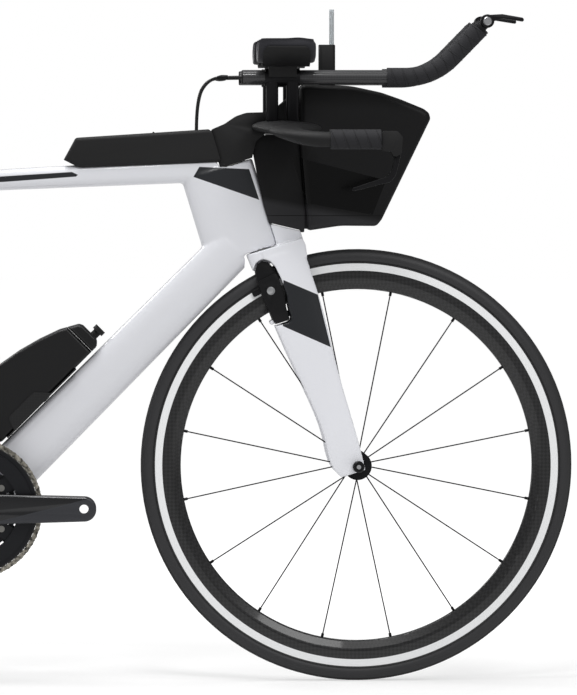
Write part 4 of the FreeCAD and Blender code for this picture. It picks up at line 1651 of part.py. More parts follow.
front_stud = rod(wheel_point(FRONT_AXLE, FRONT_BRAKE_ANGLE, BRAKE_PIVOT_RADIUS, -BRAKE_ARM_WIDTH * 0.6,
                             BRAKE_STUD_OFFSET),
                 wheel_point(FRONT_AXLE, FRONT_BRAKE_ANGLE, BRAKE_PIVOT_RADIUS, BRAKE_ARM_WIDTH * 0.6,
                             BRAKE_STUD_OFFSET),
                 BRAKE_STUD_RADIUS)
fork = max(fork.Solids, key=lambda solid: solid.Volume)
fork = fused([fork, front_stud, mirrored(front_stud)])
keep("fork", fork)
rear_stud = rod(wheel_point(REAR_AXLE, REAR_BRAKE_ANGLE, BRAKE_PIVOT_RADIUS, BRAKE_ARM_WIDTH * 0.6,
                            BRAKE_STUD_OFFSET),
                wheel_point(REAR_AXLE, REAR_BRAKE_ANGLE, BRAKE_PIVOT_RADIUS, -BRAKE_ARM_WIDTH * 0.8,
                            BRAKE_STUD_OFFSET),
                BRAKE_STUD_RADIUS)
bracket_points = [wheel_point(REAR_AXLE, REAR_BRAKE_ANGLE, BRAKE_PIVOT_RADIUS + r * BRAKE_STUD_RADIUS * 2.5,
                              q * BRAKE_ARM_WIDTH)
                  for r, q in ((-1, -0.5), (1, -0.5), (1, -1.0), (-1, -1.0))]
bracket = slab(bracket_points, BRAKE_STUD_RADIUS * 0.5, WHEEL_SLOT_HALF_WIDTH,
               BRAKE_STUD_OFFSET + STAY_HALF_WIDTH * 2)
rear_mount = fused([rear_stud, bracket]).cut(frame)
rear_mount = max(rear_mount.Solids, key=lambda solid: solid.Volume)
keep("rear_brake_mount", both_sides(rear_mount))

os.makedirs("parts", exist_ok=True)
for node_name, node_shape in NODES.items():
    node_shape.exportStep("parts/" + node_name + ".step")
    print(node_name, len(node_shape.Solids), round(node_shape.Volume / 1000, 1), node_shape.isValid())
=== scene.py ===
import json
import math

import bmesh
import bpy
from mathutils import Matrix, Vector


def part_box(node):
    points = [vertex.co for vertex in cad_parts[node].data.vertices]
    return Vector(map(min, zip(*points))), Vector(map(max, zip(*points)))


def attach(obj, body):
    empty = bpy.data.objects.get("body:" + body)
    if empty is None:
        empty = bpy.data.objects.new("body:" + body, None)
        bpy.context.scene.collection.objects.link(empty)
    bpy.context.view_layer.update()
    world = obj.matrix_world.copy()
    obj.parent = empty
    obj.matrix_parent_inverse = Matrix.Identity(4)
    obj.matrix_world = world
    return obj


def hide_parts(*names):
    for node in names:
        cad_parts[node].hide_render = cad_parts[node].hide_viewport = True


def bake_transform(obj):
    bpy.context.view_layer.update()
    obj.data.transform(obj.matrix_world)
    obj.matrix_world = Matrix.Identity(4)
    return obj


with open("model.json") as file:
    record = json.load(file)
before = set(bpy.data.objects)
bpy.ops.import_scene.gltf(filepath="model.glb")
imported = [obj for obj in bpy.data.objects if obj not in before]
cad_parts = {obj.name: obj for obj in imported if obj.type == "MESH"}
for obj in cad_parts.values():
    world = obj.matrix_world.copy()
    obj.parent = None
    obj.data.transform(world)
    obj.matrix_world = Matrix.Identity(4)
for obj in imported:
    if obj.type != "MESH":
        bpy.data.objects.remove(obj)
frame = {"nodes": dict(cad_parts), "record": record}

bl_info = {
    "name": "Time Trial Bicycle",
    "version": (1, 0, 0),
    "blender": (4, 5, 0),
    "location": "View3D > Sidebar > Bicycle",
    "description": "Builds the looks of a time trial bicycle around its CAD parts",
    "category": "Object",
}

NODES = frame["nodes"]
BODY_OF = {node: body for body, nodes in frame["record"]["behaviour"]["bodies"].items() for node in nodes}
FRONT_AXLE = Vector((0.498456, 0.0, 0.336))
REAR_AXLE = Vector((-0.498456, 0.0, 0.336))
BOTTOM_BRACKET = Vector((-0.098544, 0.0, 0.272))
AXLES = (("front", FRONT_AXLE), ("rear", REAR_AXLE))
BRAKE_PIVOTS = (("front_brake", Vector((0.3642, 0.0, 0.6076))),
                ("rear_brake", Vector((-0.2085, 0.0, 0.2418))))
SIDES = (("left", 1), ("right", -1))
BACKWARD = Vector((-1.0, 0.0, 0.0))
SIDE = Vector((0.0, 1.0, 0.0))
UP = Vector((0.0, 0.0, 1.0))


def srgb(code):
    """Linear colour of a six-digit sRGB hex code."""
    values = [int(code[i:i + 2], 16) / 255 for i in (0, 2, 4)]
    return tuple(v / 12.92 if v <= 0.04045 else ((v + 0.055) / 1.055) ** 2.4 for v in values)


def colour(label, about, code):
    return bpy.props.FloatVectorProperty(name=label, description=about, default=srgb(code), size=3,
                                         min=0.0, max=1.0, subtype="COLOR")


def length(label, about, metres):
    return bpy.props.FloatProperty(name=label, description=about, default=metres, min=0.0, unit="LENGTH",
                                   subtype="DISTANCE")


class BicycleColours(bpy.types.PropertyGroup):
    """Colours of the bicycle's finishes."""
    white: colour("White paint", "Gloss paint of frame and fork", "e6e7ec")
    charcoal: colour("Charcoal panel", "Satin panels on the paint", "1d1f23")
    black: colour("Black", "Moulded black plastic", "0e0e0f")
    carbon: colour("Carbon", "Carbon under clear coat", "141415")
    rubber: colour("Rubber", "Tyre rubber", "29292b")
    tread: colour("Tread", "Worn tread of the tyre", "242425")
    # Near white: the light machined alloy plus a painted reflection of the bright studio, as the track is
    # barely metallic
    track: colour("Brake track", "Machined brake track", "fbfcfd")
    alloy: colour("Alloy", "Anodised black alloy", "151517")
    silver: colour("Silver", "Bare alloy", "b9babc")
    steel: colour("Steel", "Bare steel", "8d8c88")
    chain: colour("Chain", "Plated chain", "b5b0a4")
    crank: colour("Crank", "Satin dark grey crank", "3b3c40")
    tape: colour("Tape", "Wound bar tape", "242427")
    foam: colour("Foam", "Fabric on foam", "28282d")
    leather: colour("Saddle", "Saddle cover", "161617")
    bottle: colour("Bottle", "Frame bottle", "0a0a0c")
    straw: colour("Straw", "Clear straw", "e6ebee")
    floor: colour("Floor", "Studio floor", "f7f7f7")


class BicycleSizes(bpy.types.PropertyGroup):
    """Sizes of the modelled details."""
    frame_voxel: length("Frame voxel", "Grain of the blended frame", 0.0024)
    shell_gap: length("Shell gap", "How far the blended shells are drawn in, to turn freely", 0.0005)
    pad_voxel: length("Pad voxel", "Grain of the cushions before they are filled", 0.004)
    cushion_inset: length("Cushion inset", "How far a cushion is drawn in before it is filled", 0.0025)
    cushion_crown: length("Cushion crown", "How far a filled cushion may rise above its solid", 0.002)
    tape_ridge: length("Tape ridge", "Radius of the raised edge of the tape", 0.0011)
    tape_pitch: length("Tape pitch", "Advance of the tape per turn", 0.016)
    edge_round: length("Edge rounding", "Rounding of sharp edges on moulded and machined pieces", 0.0012)
    cable_radius: length("Cable radius", "Half the thickness of a shift cable", 0.0025)
    screw_radius: length("Screw head", "Radius of a small cap screw", 0.0038)
    screw_height: length("Screw height", "Height of a small cap screw", 0.0022)
    camera_distance: length("Camera distance", "From the middle plane to the camera", 9.0)
    view_height: length("View height", "Height of the picture in the middle plane", 1.0811)
    floor_size: length("Floor size", "Half width of the studio floor", 30.0)


def colours():
    return bpy.context.scene.bicycle_colours


def sizes():
    return bpy.context.scene.bicycle_sizes


# Grain of surfaces: size of a grain, strength of its bump and depth of the bump
GRAINS = {
    "paint": (0.03, 0.04, 0.0004),
    "rubber": (0.0012, 0.25, 0.0002),
    "anodised": (0.0008, 0.12, 0.0002),
    "brake": (0.0008, 0.1, 0.0002),
    "bare": (0.0009, 0.08, 0.0002),
    "machined": (0.001, 0.08, 0.0002),
    "moulded": (0.0006, 0.2, 0.0002),
    "hydration": (0.0006, 0.15, 0.0002),
    "chain": (0.005, 0.3, 0.0006),
    "tape": (0.0009, 0.5, 0.0003),
    "leather": (0.0011, 0.35, 0.0002),
}
GRAIN_DETAIL = 3.0
COAT_ROUGHNESS = 0.06
RAMP_ENDS = (0.35, 0.65)


class Finish:
    """A procedural material, with helpers for masks in the object's own coordinates in metres."""

    def __init__(self, name, base, rough, metal=0.0, coat=0.0, specular=0.35):
        self.material = bpy.data.materials.new(name)
        self.material.use_nodes = True
        self.tree = self.material.node_tree
        self.shader = self.tree.nodes["Principled BSDF"]
        self.shader.inputs["Base Color"].default_value = (*base, 1.0)
        self.shader.inputs["Roughness"].default_value = rough
        self.shader.inputs["Metallic"].default_value = metal
        self.shader.inputs["Coat Weight"].default_value = coat
        self.shader.inputs["Coat Roughness"].default_value = COAT_ROUGHNESS
        self.shader.inputs["Specular IOR Level"].default_value = specular
        self.material.diffuse_color = (*base, 1.0)
        self.place = None

    def add(self, kind, **settings):
        node = self.tree.nodes.new(kind)
        for key, value in settings.items():
            setattr(node, key, value)
        return node

    def link(self, source, target):
        self.tree.links.new(source, target)

    def axes(self):
        """Sockets of the object's X, Y and Z in metres."""
        if self.place is None:
            coords = self.add("ShaderNodeTexCoord")
            split = self.add("ShaderNodeSeparateXYZ")
            self.link(coords.outputs["Object"], split.inputs[0])
            self.place = (coords, split)
        return self.place[1].outputs

    def where(self):
        self.axes()
        return self.place[0].outputs["Object"]

    def math(self, operation, first, second=0.0, clamp=False):
        node = self.add("ShaderNodeMath", operation=operation, use_clamp=clamp)
        for socket, value in zip(node.inputs, (first, second)):
            if isinstance(value, (int, float)):
                socket.default_value = value
            else:
                self.link(value, socket)
        return node.outputs[0]

    def above(self, value, edge, soft):
        """0 below the edge and 1 above it."""
        return self.math("MULTIPLY", self.math("SUBTRACT", value, edge), 1.0 / soft, clamp=True)

    def below(self, value, edge, soft):
        """1 below the edge and 0 above it."""
        return self.math("SUBTRACT", 1.0, self.above(value, edge, soft))

    def between(self, value, low, high, soft=0.0004):
        return self.both(self.above(value, low, soft), self.below(value, high, soft))

    def both(self, first, second):
        return self.math("MULTIPLY", first, second)

    def either(self, first, second):
        return self.math("MAXIMUM", first, second)

    def radius(self, centre):
        """Distance from an axis along Y through a point."""
        axes = self.axes()
        ahead = self.math("SUBTRACT", axes["X"], centre.x)
        above = self.math("SUBTRACT", axes["Z"], centre.z)
        return self.math("SQRT", self.math("ADD", self.math("MULTIPLY", ahead, ahead),
                                           self.math("MULTIPLY", above, above)))

    def along(self, x, z):
        """Distance along a direction in the X and Z plane."""
        axes = self.axes()
        return self.math("ADD", self.math("MULTIPLY", axes["X"], x), self.math("MULTIPLY", axes["Z"], z))

    def polygon(self, points, soft=0.0005):
        """Mask of a convex outline in X and Z, given anticlockwise."""
        mask = None
        for (x0, z0), (x1, z1) in zip(points, points[1:] + points[:1]):
            run = math.hypot(x1 - x0, z1 - z0)
            nx, nz = -(z1 - z0) / run, (x1 - x0) / run
            edge = self.above(self.along(nx, nz), x0 * nx + z0 * nz, soft)
            mask = edge if mask is None else self.both(mask, edge)
        return mask

    def tint(self, mask, base, rough=None, metal=None, coat=None):
        """Change the finish where the mask is 1."""
        self.mix(mask, "Base Color", base)
        for name, value in (("Roughness", rough), ("Metallic", metal), ("Coat Weight", coat)):
            if value is not None:
                self.mix(mask, name, value)

    def mix(self, mask, name, value):
        socket = self.shader.inputs[name]
        is_colour = name == "Base Color"
        node = self.add("ShaderNodeMix", data_type="RGBA" if is_colour else "FLOAT")
        pick = {s.identifier: s for s in node.inputs}
        first = pick["A_Color" if is_colour else "A_Float"]
        second = pick["B_Color" if is_colour else "B_Float"]
        self.link(mask, pick["Factor_Float"])
        if socket.is_linked:
            self.link(socket.links[0].from_socket, first)
        else:
            first.default_value = socket.default_value
        second.default_value = (*value, 1.0) if is_colour else value
        output = {s.identifier: s for s in node.outputs}["Result_Color" if is_colour else "Result_Float"]
        self.link(output, socket)

    def grain(self, kind):
        """Fine bump of one of the grains above."""
        size, strength, depth = GRAINS[kind]
        noise = self.add("ShaderNodeTexNoise")
        noise.inputs["Scale"].default_value = 1.0 / size
        noise.inputs["Detail"].default_value = GRAIN_DETAIL
        self.link(self.where(), noise.inputs["Vector"])
        self.bump(noise.outputs[0], strength, depth)
        return noise.outputs[0]

    def bump(self, height, strength, depth):
        bump = self.add("ShaderNodeBump")
        bump.inputs["Strength"].default_value = strength
        bump.inputs["Distance"].default_value = depth
        self.link(height, bump.inputs["Height"])
        previous = self.shader.inputs["Normal"]
        if previous.is_linked:
            self.link(previous.links[0].from_socket, bump.inputs["Normal"])
        self.link(bump.outputs[0], previous)

    def vary(self, value, base_low, base_high):
        """Base colour that runs between two colours as the value goes from 0 to 1."""
        ramp = self.add("ShaderNodeValToRGB")
        for stop, base, place in zip(ramp.color_ramp.elements, (base_low, base_high), RAMP_ENDS):
            stop.color = (*base, 1.0)
            stop.position = place
        self.link(value, ramp.inputs[0])
        self.link(ramp.outputs[0], self.shader.inputs["Base Color"])

    def weave(self, cell):
        """Diagonal weave of a cloth laid in the X and Z plane."""
        mapping = self.add("ShaderNodeMapping")
        mapping.inputs["Rotation"].default_value = (0.0, math.radians(45), 0.0)
        self.link(self.where(), mapping.inputs["Vector"])
        checker = self.add("ShaderNodeTexChecker")
        checker.inputs["Scale"].default_value = 1.0 / cell
        self.link(mapping.outputs[0], checker.inputs["Vector"])
        return checker.outputs["Fac"]


def scaled(base, factor):
    return tuple(min(1.0, value * factor) for value in base)


# Mesh helpers
MERGE_DISTANCE = 1e-6
FLAT_ANGLE = math.radians(0.6)
SHARP_ANGLE = math.radians(40.0)
RELAX_FACTOR = 0.5
FORK_VOXEL_SHARE = 0.8
CUSHION_PRESSURE = 4.0
CUSHION_FRAMES = 20
CUSHION_RELAX_ROUNDS = 6


def new_object(name, data):
    item = bpy.data.objects.new(name, data)
    bpy.context.scene.collection.objects.link(item)
    return item


def smooth(mesh, angle=35.0):
    """Smooth shading, kept sharp where faces meet at more than an angle."""
    mesh.shade_smooth()
    shape = bmesh.new()
    shape.from_mesh(mesh)
    limit = math.radians(angle)
    for edge in shape.edges:
        edge.smooth = len(edge.link_faces) == 2 and edge.calc_face_angle(0.0) < limit
    shape.to_mesh(mesh)
    shape.free()


def as_mesh(item):
    """New mesh of an object as it stands."""
    bpy.context.view_layer.update()
    graph = bpy.context.evaluated_depsgraph_get()
    return bpy.data.meshes.new_from_object(item.evaluated_get(graph))


def evaluated(item):
    """Mesh of an object with its modifiers, which are then removed."""
    mesh = as_mesh(item)
    old = item.data
    item.modifiers.clear()
    item.data = mesh
    bpy.data.meshes.remove(old)
    return mesh


def keep_outer(mesh):
    """Drop closed shells that lie inside the largest one."""
    shape = bmesh.new()
    shape.from_mesh(mesh)
    shape.verts.ensure_lookup_table()
    seen = set()
    groups = []
    for vert in shape.verts:
        if vert.index in seen:
            continue
        group, queue = [], [vert]
        seen.add(vert.index)
        while queue:
            current = queue.pop()
            group.append(current)
            for edge in current.link_edges:
                other = edge.other_vert(current)
                if other.index not in seen:
                    seen.add(other.index)
                    queue.append(other)
        groups.append(group)
    groups.sort(key=len)
    bmesh.ops.delete(shape, geom=[v for group in groups[:-1] for v in group], context="VERTS")
    shape.to_mesh(mesh)
    shape.free()


def round_edges(shape, width):
    """Round the edges where faces meet sharply."""
    bmesh.ops.dissolve_limit(shape, angle_limit=FLAT_ANGLE, verts=shape.verts, edges=shape.edges)
    sharp = [edge for edge in shape.edges
             if len(edge.link_faces) == 2 and edge.calc_face_angle(0.0) > SHARP_ANGLE]
    bmesh.ops.bevel(shape, geom=sharp, offset=width, segments=2, profile=0.5, affect="EDGES",
                    clamp_overlap=True)


def relax(item, rounds):
    """Even out a surface with a modifier."""
    modifier = item.modifiers.new("Relax", "SMOOTH")
    modifier.factor = RELAX_FACTOR
    modifier.iterations = rounds


def copy_node(node, name, finish, voxel=0.0, rounds=0, outer_only=False, edge=0.0):
    """A merged, smooth copy of a CAD node that stands for it."""
    mesh = NODES[node].data.copy()
    shape = bmesh.new()
    shape.from_mesh(mesh)
    bmesh.ops.remove_doubles(shape, verts=shape.verts, dist=MERGE_DISTANCE)
    if edge:
        round_edges(shape, edge)
    shape.to_mesh(mesh)
    shape.free()
    if mesh.attributes.get("custom_normal"):
        mesh.attributes.remove(mesh.attributes["custom_normal"])
    mesh.name = name
    item = new_object(name, mesh)
    if voxel:
        remesh = item.modifiers.new("Blend", "REMESH")
        remesh.mode = "VOXEL"
        remesh.voxel_size = voxel
        if rounds:
            relax(item, rounds)
        mesh = evaluated(item)
        if outer_only:
            keep_outer(mesh)
        mesh.shade_smooth()
    else:
        smooth(mesh)
    mesh.materials.clear()
    mesh.materials.append(finish.material)
    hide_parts(node)
    return item


def draw_in(mesh, depth):
    """Move a closed shell's points inward, and give the directions that faced outward."""
    normals = [vert.normal.copy() for vert in mesh.vertices]
    for vert, normal in zip(mesh.vertices, normals):
        vert.co -= normal * depth
    return normals


def fill_cushion(item, inset, crown):
    """Draw a soft shell in, swell it as a cloth under pressure, and hold it near the shape it came from."""
    scene = bpy.context.scene
    normals = draw_in(item.data, inset)
    starts = [vert.co.copy() for vert in item.data.vertices]
    cloth = item.modifiers.new("Fill", "CLOTH")
    cloth.settings.use_pressure = True
    cloth.settings.uniform_pressure_force = CUSHION_PRESSURE
    cloth.settings.effector_weights.gravity = 0.0
    for count in range(1, CUSHION_FRAMES + 1):
        scene.frame_set(count)
    mesh = evaluated(item)
    scene.frame_set(1)
    for vert, place, normal in zip(mesh.vertices, starts, normals):
        move = vert.co - place
        limit = inset + crown * max(0.0, normal.z)
        if move.length > limit:
            vert.co = place + move * (limit / move.length)
    relax(item, CUSHION_RELAX_ROUNDS)
    finer = item.modifiers.new("Finer", "SUBSURF")
    finer.levels = finer.render_levels = 1
    evaluated(item).shade_smooth()


# Shares of the usual rounding of edges
SOFT_EDGES = 1.2
PLAIN_EDGES = 1.0
LEVER_EDGES = 0.8
THIN_EDGES = 0.7


def rounded(finish, share, *nodes):
    """Stand-ins for CAD nodes with their sharp edges rounded by a share of the usual rounding."""
    for node in nodes:
        item = copy_node(node, node + "_rounded", finish, edge=sizes().edge_round * share)
        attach(item, BODY_OF[node])


def dress(finish, *nodes):
    """Give CAD nodes a finish."""
    for node in nodes:
        data = NODES[node].data
        data.materials.clear()
        data.materials.append(finish.material)


def joined(name, shape, finish, body):
    """One mesh object from a bmesh, riding on a body if one is named."""
    mesh = bpy.data.meshes.new(name)
    bmesh.ops.recalc_face_normals(shape, faces=shape.faces)
    shape.to_mesh(mesh)
    shape.free()
    smooth(mesh, angle=30.0)
    mesh.materials.append(finish.material)
    item = new_object(name, mesh)
    if body:
        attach(item, body)
    return item


def turned_to(centre, axis):
    """Matrix that takes Z to an axis at a point."""
    return Matrix.Translation(centre) @ axis.to_track_quat("Z", "Y").to_matrix().to_4x4()


def lathe(shape, centre, axis, profile, sides=32):
    """Add a turned body: profile is (radius, height) from one end to the other."""
    matrix = turned_to(Vector(centre), Vector(axis).normalized())
    rings = []
    for radius, height in profile:
        ring = []
        for side in range(sides):
            angle = 2 * math.pi * side / sides
            place = Vector((radius * math.cos(angle), radius * math.sin(angle), height))
            ring.append(shape.verts.new(matrix @ place))
        rings.append(ring)
    for low, high in zip(rings, rings[1:]):
        for side in range(sides):
            after = (side + 1) % sides
            shape.faces.new((low[side], low[after], high[after], high[side]))
    shape.faces.new(list(reversed(rings[0])))
    shape.faces.new(rings[-1])


def cap_screw(shape, centre, axis, radius, height):
    """Socket head screw: a bevelled drum with a hole."""
    bevel = radius * 0.18
    hole = radius * 0.6
    lathe(shape, centre, axis, [(radius, -height * 0.5), (radius, height - bevel), (radius - bevel, height),
                                (hole, height), (hole, height * 0.3)], sides=24)


def plate(shape, outline, half_width):
    """Add a plate of an outline in X and Z, set about the middle plane."""
    near, far = ([shape.verts.new((x, y, z)) for x, z in outline] for y in (-half_width, half_width))
    shape.faces.new(near)
    shape.faces.new(list(reversed(far)))
    for i in range(len(outline)):
        after = (i + 1) % len(outline)
        shape.faces.new((near[i], far[i], far[after], near[after]))


# Geometry nodes: turns of wound tape set along a path
TAPE_RING_POINTS = 48
TAPE_EDGE_POINTS = 10
TAPE_SLANT = (0.0, 0.0, 0.3)


def tape_tree():
    """Node group that sets slanted rings along a path, and the names of its inputs."""
    tree = bpy.data.node_groups.new("Wound tape", "GeometryNodeTree")
    tree.is_modifier = True
    face = tree.interface
    face.new_socket("Geometry", in_out="INPUT", socket_type="NodeSocketGeometry")
    sockets = {}
    for label, kind in (("Pitch", "Float"), ("Radius", "Float"), ("Ridge", "Float"), ("Slant", "Vector"),
                        ("Material", "Material")):
        socket = face.new_socket(label, in_out="INPUT", socket_type="NodeSocket" + kind)
        sockets[label] = socket.identifier
    face.new_socket("Geometry", in_out="OUTPUT", socket_type="NodeSocketGeometry")
    nodes, links = tree.nodes, tree.links
    source = nodes.new("NodeGroupInput")
    target = nodes.new("NodeGroupOutput")
    path = nodes.new("GeometryNodeMeshToCurve")
    links.new(source.outputs["Geometry"], path.inputs["Mesh"])
    points = nodes.new("GeometryNodeResampleCurve")
    points.mode = "LENGTH"
    links.new(path.outputs["Curve"], points.inputs["Curve"])
    links.new(source.outputs["Pitch"], points.inputs["Length"])
    tangent = nodes.new("GeometryNodeInputTangent")
    slanted = nodes.new("ShaderNodeVectorMath")
    slanted.operation = "ADD"
    links.new(tangent.outputs["Tangent"], slanted.inputs[0])
    links.new(source.outputs["Slant"], slanted.inputs[1])
    align = nodes.new("FunctionNodeAlignRotationToVector")
    align.axis = "Z"
    links.new(slanted.outputs["Vector"], align.inputs["Vector"])
    ring = nodes.new("GeometryNodeCurvePrimitiveCircle")
    ring.inputs["Resolution"].default_value = TAPE_RING_POINTS
    links.new(source.outputs["Radius"], ring.inputs["Radius"])
    edge = nodes.new("GeometryNodeCurvePrimitiveCircle")
    edge.inputs["Resolution"].default_value = TAPE_EDGE_POINTS
    links.new(source.outputs["Ridge"], edge.inputs["Radius"])
    sweep = nodes.new("GeometryNodeCurveToMesh")
    links.new(ring.outputs["Curve"], sweep.inputs["Curve"])
    links.new(edge.outputs["Curve"], sweep.inputs["Profile Curve"])
    copies = nodes.new("GeometryNodeInstanceOnPoints")
    links.new(points.outputs["Curve"], copies.inputs["Points"])
    links.new(sweep.outputs["Mesh"], copies.inputs["Instance"])
    links.new(align.outputs["Rotation"], copies.inputs["Rotation"])
    real = nodes.new("GeometryNodeRealizeInstances")
    links.new(copies.outputs["Instances"], real.inputs["Geometry"])
    paint = nodes.new("GeometryNodeSetMaterial")
    links.new(real.outputs["Geometry"], paint.inputs["Geometry"])
    links.new(source.outputs["Material"], paint.inputs["Material"])
    links.new(paint.outputs["Geometry"], target.inputs["Geometry"])
    return tree, sockets


def wound_ridges(name, path, radius, finish):
    """Edges of the turns of tape wound along a path."""
    if "tape_tree" not in STORE:
        STORE["tape_tree"] = tape_tree()
    tree, sockets = STORE["tape_tree"]
    mesh = bpy.data.meshes.new(name)
    mesh.from_pydata(path, [(i, i + 1) for i in range(len(path) - 1)], [])
    item = new_object(name, mesh)
    modifier = item.modifiers.new("Tape", "NODES")
    modifier.node_group = tree
    modifier[sockets["Pitch"]] = sizes().tape_pitch
    modifier[sockets["Radius"]] = radius
    modifier[sockets["Ridge"]] = sizes().tape_ridge
    modifier[sockets["Slant"]] = TAPE_SLANT
    modifier[sockets["Material"]] = finish.material
    evaluated(item).shade_smooth()
    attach(item, "steering")


STORE = {}


def finish_of(key):
    return STORE[key]


# Outlines of painted and moulded panels in X and Z, anticlockwise
TOP_TUBE_STRIPE = [(-0.2, 0.765), (-0.056, 0.7756), (0.059, 0.781), (0.066, 0.7875), (0.054, 0.793),
                   (-0.056, 0.785), (-0.2, 0.776)]
HEAD_WEDGE = [(0.244, 0.784), (0.347, 0.748), (0.331, 0.7965), (0.2535, 0.8)]
FORK_PANEL = [(0.382, 0.553), (0.457, 0.52), (0.437, 0.602), (0.383, 0.625)]
HYDRATION_PANEL = [(0.396, 0.817), (0.42, 0.743), (0.478, 0.7327), (0.522, 0.725), (0.543, 0.779)]
HYDRATION_BAND = [(0.33, 0.66), (0.6, 0.66), (0.6, 0.7075), (0.33, 0.7585)]
HYDRATION_SEAM = (0.7235, 0.7245)

# Where a finish changes: distances from an axis or the middle plane, and the line of the cranks' facet
TREAD_EDGE = 0.3315
TRACK_EDGES = (0.3024, 0.3136)
SKEWER_CORE = 0.0032
RING_EDGE = 0.0995
CRANK_FACET_SLOPE = 0.25
CRANK_FACET_LEVEL = -0.029
BRAKE_PAD_DEPTH = 0.0164
BRAKE_SCREW_DEPTH = 0.0262
BRAKE_SCREW_RADIUS = 0.0061

# How softly it changes
FINE_EDGE = 0.0002
CRISP_EDGE = 0.0003
FACET_EDGE = 0.0008
TREAD_BLUR = 0.0015
BAND_BLUR = 0.01

# Pitch of woven and ribbed surfaces, strength and depth of their bump, and the tape's run in X and Z
RIM_WEAVE = 0.0042
TUBE_WEAVE = 0.003
CLOTH_CELL = 0.0016
CLOTH_BUMP = (0.35, 0.0003)
SIDEWALL_RIB = 0.0016
SIDEWALL_BUMP = (0.15, 0.0002)
TAPE_BUMP = (0.9, 0.0012)
# Share of each tape turn that is darkened: painted shade in the groove where the turns overlap
TAPE_GROOVE_SHADE_SHARE = 0.12
TAPE_RUN = (0.927, 0.375)


def paint_finishes(c):
    """Gloss paint with plain dark panels. The fork's copy of the same white paint is made brighter, as
    painted light.
    """
    frame_paint = Finish("White gloss paint on carbon", c.white, 0.28, coat=0.7)
    # Painted light: the fork gets a brighter copy of the frame's white paint, standing in for the light that
    # falls on it
    lit_fork_paint = Finish("White gloss paint on the fork", scaled(c.white, 1.12), 0.28, coat=0.7)
    stripe, wedge = frame_paint.polygon(TOP_TUBE_STRIPE), frame_paint.polygon(HEAD_WEDGE)
    for paint, panel in ((frame_paint, frame_paint.either(stripe, wedge)),
                         (lit_fork_paint, lit_fork_paint.polygon(FORK_PANEL))):
        paint.grain("paint")
        paint.tint(panel, c.charcoal, 0.4, coat=0.2)
    return {"frame_paint": frame_paint, "lit_fork_paint": lit_fork_paint}


def wheel_finishes(c, end, axle):
    """Tyre, rim and skewer of one wheel."""
    tyre = Finish("Tyre rubber " + end, c.rubber, 0.5, specular=0.5)
    reach = tyre.radius(axle)
    tyre.tint(tyre.above(reach, TREAD_EDGE, TREAD_BLUR), c.tread, 0.85)
    ribs = tyre.math("SINE", tyre.math("MULTIPLY", reach, 2 * math.pi / SIDEWALL_RIB))
    tyre.bump(ribs, *SIDEWALL_BUMP)
    tyre.grain("rubber")
    rim = Finish("Woven carbon rim " + end, c.carbon, 0.32, coat=0.5)
    rim.vary(rim.weave(RIM_WEAVE), scaled(c.carbon, 0.75), scaled(c.carbon, 2.1))
    # Painted reflection: the brake track is a near-white, barely metallic ring standing in for the bright
    # studio seen in the machined alloy
    rim.tint(rim.between(rim.radius(axle), *TRACK_EDGES), c.track, 0.45, metal=0.05, coat=0.0)
    skewer = Finish("Black skewer " + end, c.alloy, 0.4, metal=0.5)
    core = skewer.below(skewer.radius(axle), SKEWER_CORE, CRISP_EDGE)
    skewer.tint(core, c.silver, 0.3, metal=0.95)
    return {end + "_tyre": tyre, end + "_rim": rim, end + "_axle": skewer}


def metal_finishes(c):
    """Plain metals."""
    spoke = Finish("Black steel spokes", scaled(c.alloy, 0.8), 0.35, metal=0.6)
    alloy = Finish("Black anodised alloy", c.alloy, 0.42, metal=0.55)
    alloy.grain("anodised")
    silver = Finish("Bare silver alloy", c.silver, 0.3, metal=0.95)
    silver.grain("bare")
    steel = Finish("Bare steel", c.steel, 0.32, metal=0.95)
    steel.grain("bare")
    cassette = Finish("Nickel plated sprockets", c.silver, 0.3, metal=0.95)
    cassette.grain("machined")
    chain = Finish("Plated chain steel", c.chain, 0.34, metal=0.7)
    chain.vary(chain.grain("chain"), scaled(c.chain, 0.12), c.chain)
    return {"spoke": spoke, "alloy": alloy, "silver": silver, "steel": steel, "cassette": cassette,
            "chain": chain}


def crank_finish(c, key, sense):
    """Satin crank with a dark glossy facet that narrows towards its end."""
    crank = Finish("Satin grey alloy " + key, c.crank, 0.4, metal=0.3)
    crank.grain("machined")
    axes = crank.axes()
    ahead = crank.math("MULTIPLY", crank.math("SUBTRACT", axes["X"], BOTTOM_BRACKET.x), sense)
    rise = crank.math("MULTIPLY", crank.math("SUBTRACT", axes["Z"], BOTTOM_BRACKET.z), sense)
    slope = crank.math("SUBTRACT", rise, crank.math("MULTIPLY", ahead, CRANK_FACET_SLOPE))
    facet = crank.above(slope, CRANK_FACET_LEVEL, FACET_EDGE)
    crank.tint(facet, scaled(c.crank, 0.25), 0.16, coat=0.6)
    return crank


def ring_finish(c):
    """Dark chainrings with barer teeth."""
    rings = Finish("Dark anodised chainrings", scaled(c.crank, 0.4), 0.36, metal=0.6)
    rings.grain("machined")
    teeth = rings.above(rings.radius(BOTTOM_BRACKET), RING_EDGE, FACET_EDGE)
    rings.tint(teeth, scaled(c.steel, 0.25), 0.4, metal=0.8)
    return rings


def brake_finish(c, key, pivot):
    """Black brake arm with a rubber pad and a bare pivot screw."""
    brake = Finish("Black brake arm " + key, scaled(c.alloy, 0.9), 0.38, metal=0.4)
    brake.grain("brake")
    depth = brake.math("ABSOLUTE", brake.axes()["Y"])
    pad = brake.below(depth, BRAKE_PAD_DEPTH, CRISP_EDGE)
    brake.tint(pad, scaled(c.rubber, 0.6), 0.8, metal=0.0)
    screw = brake.both(brake.above(depth, BRAKE_SCREW_DEPTH, FINE_EDGE),
                       brake.below(brake.radius(pivot), BRAKE_SCREW_RADIUS, FINE_EDGE))
    brake.tint(screw, c.silver, 0.3, metal=0.95)
    return brake


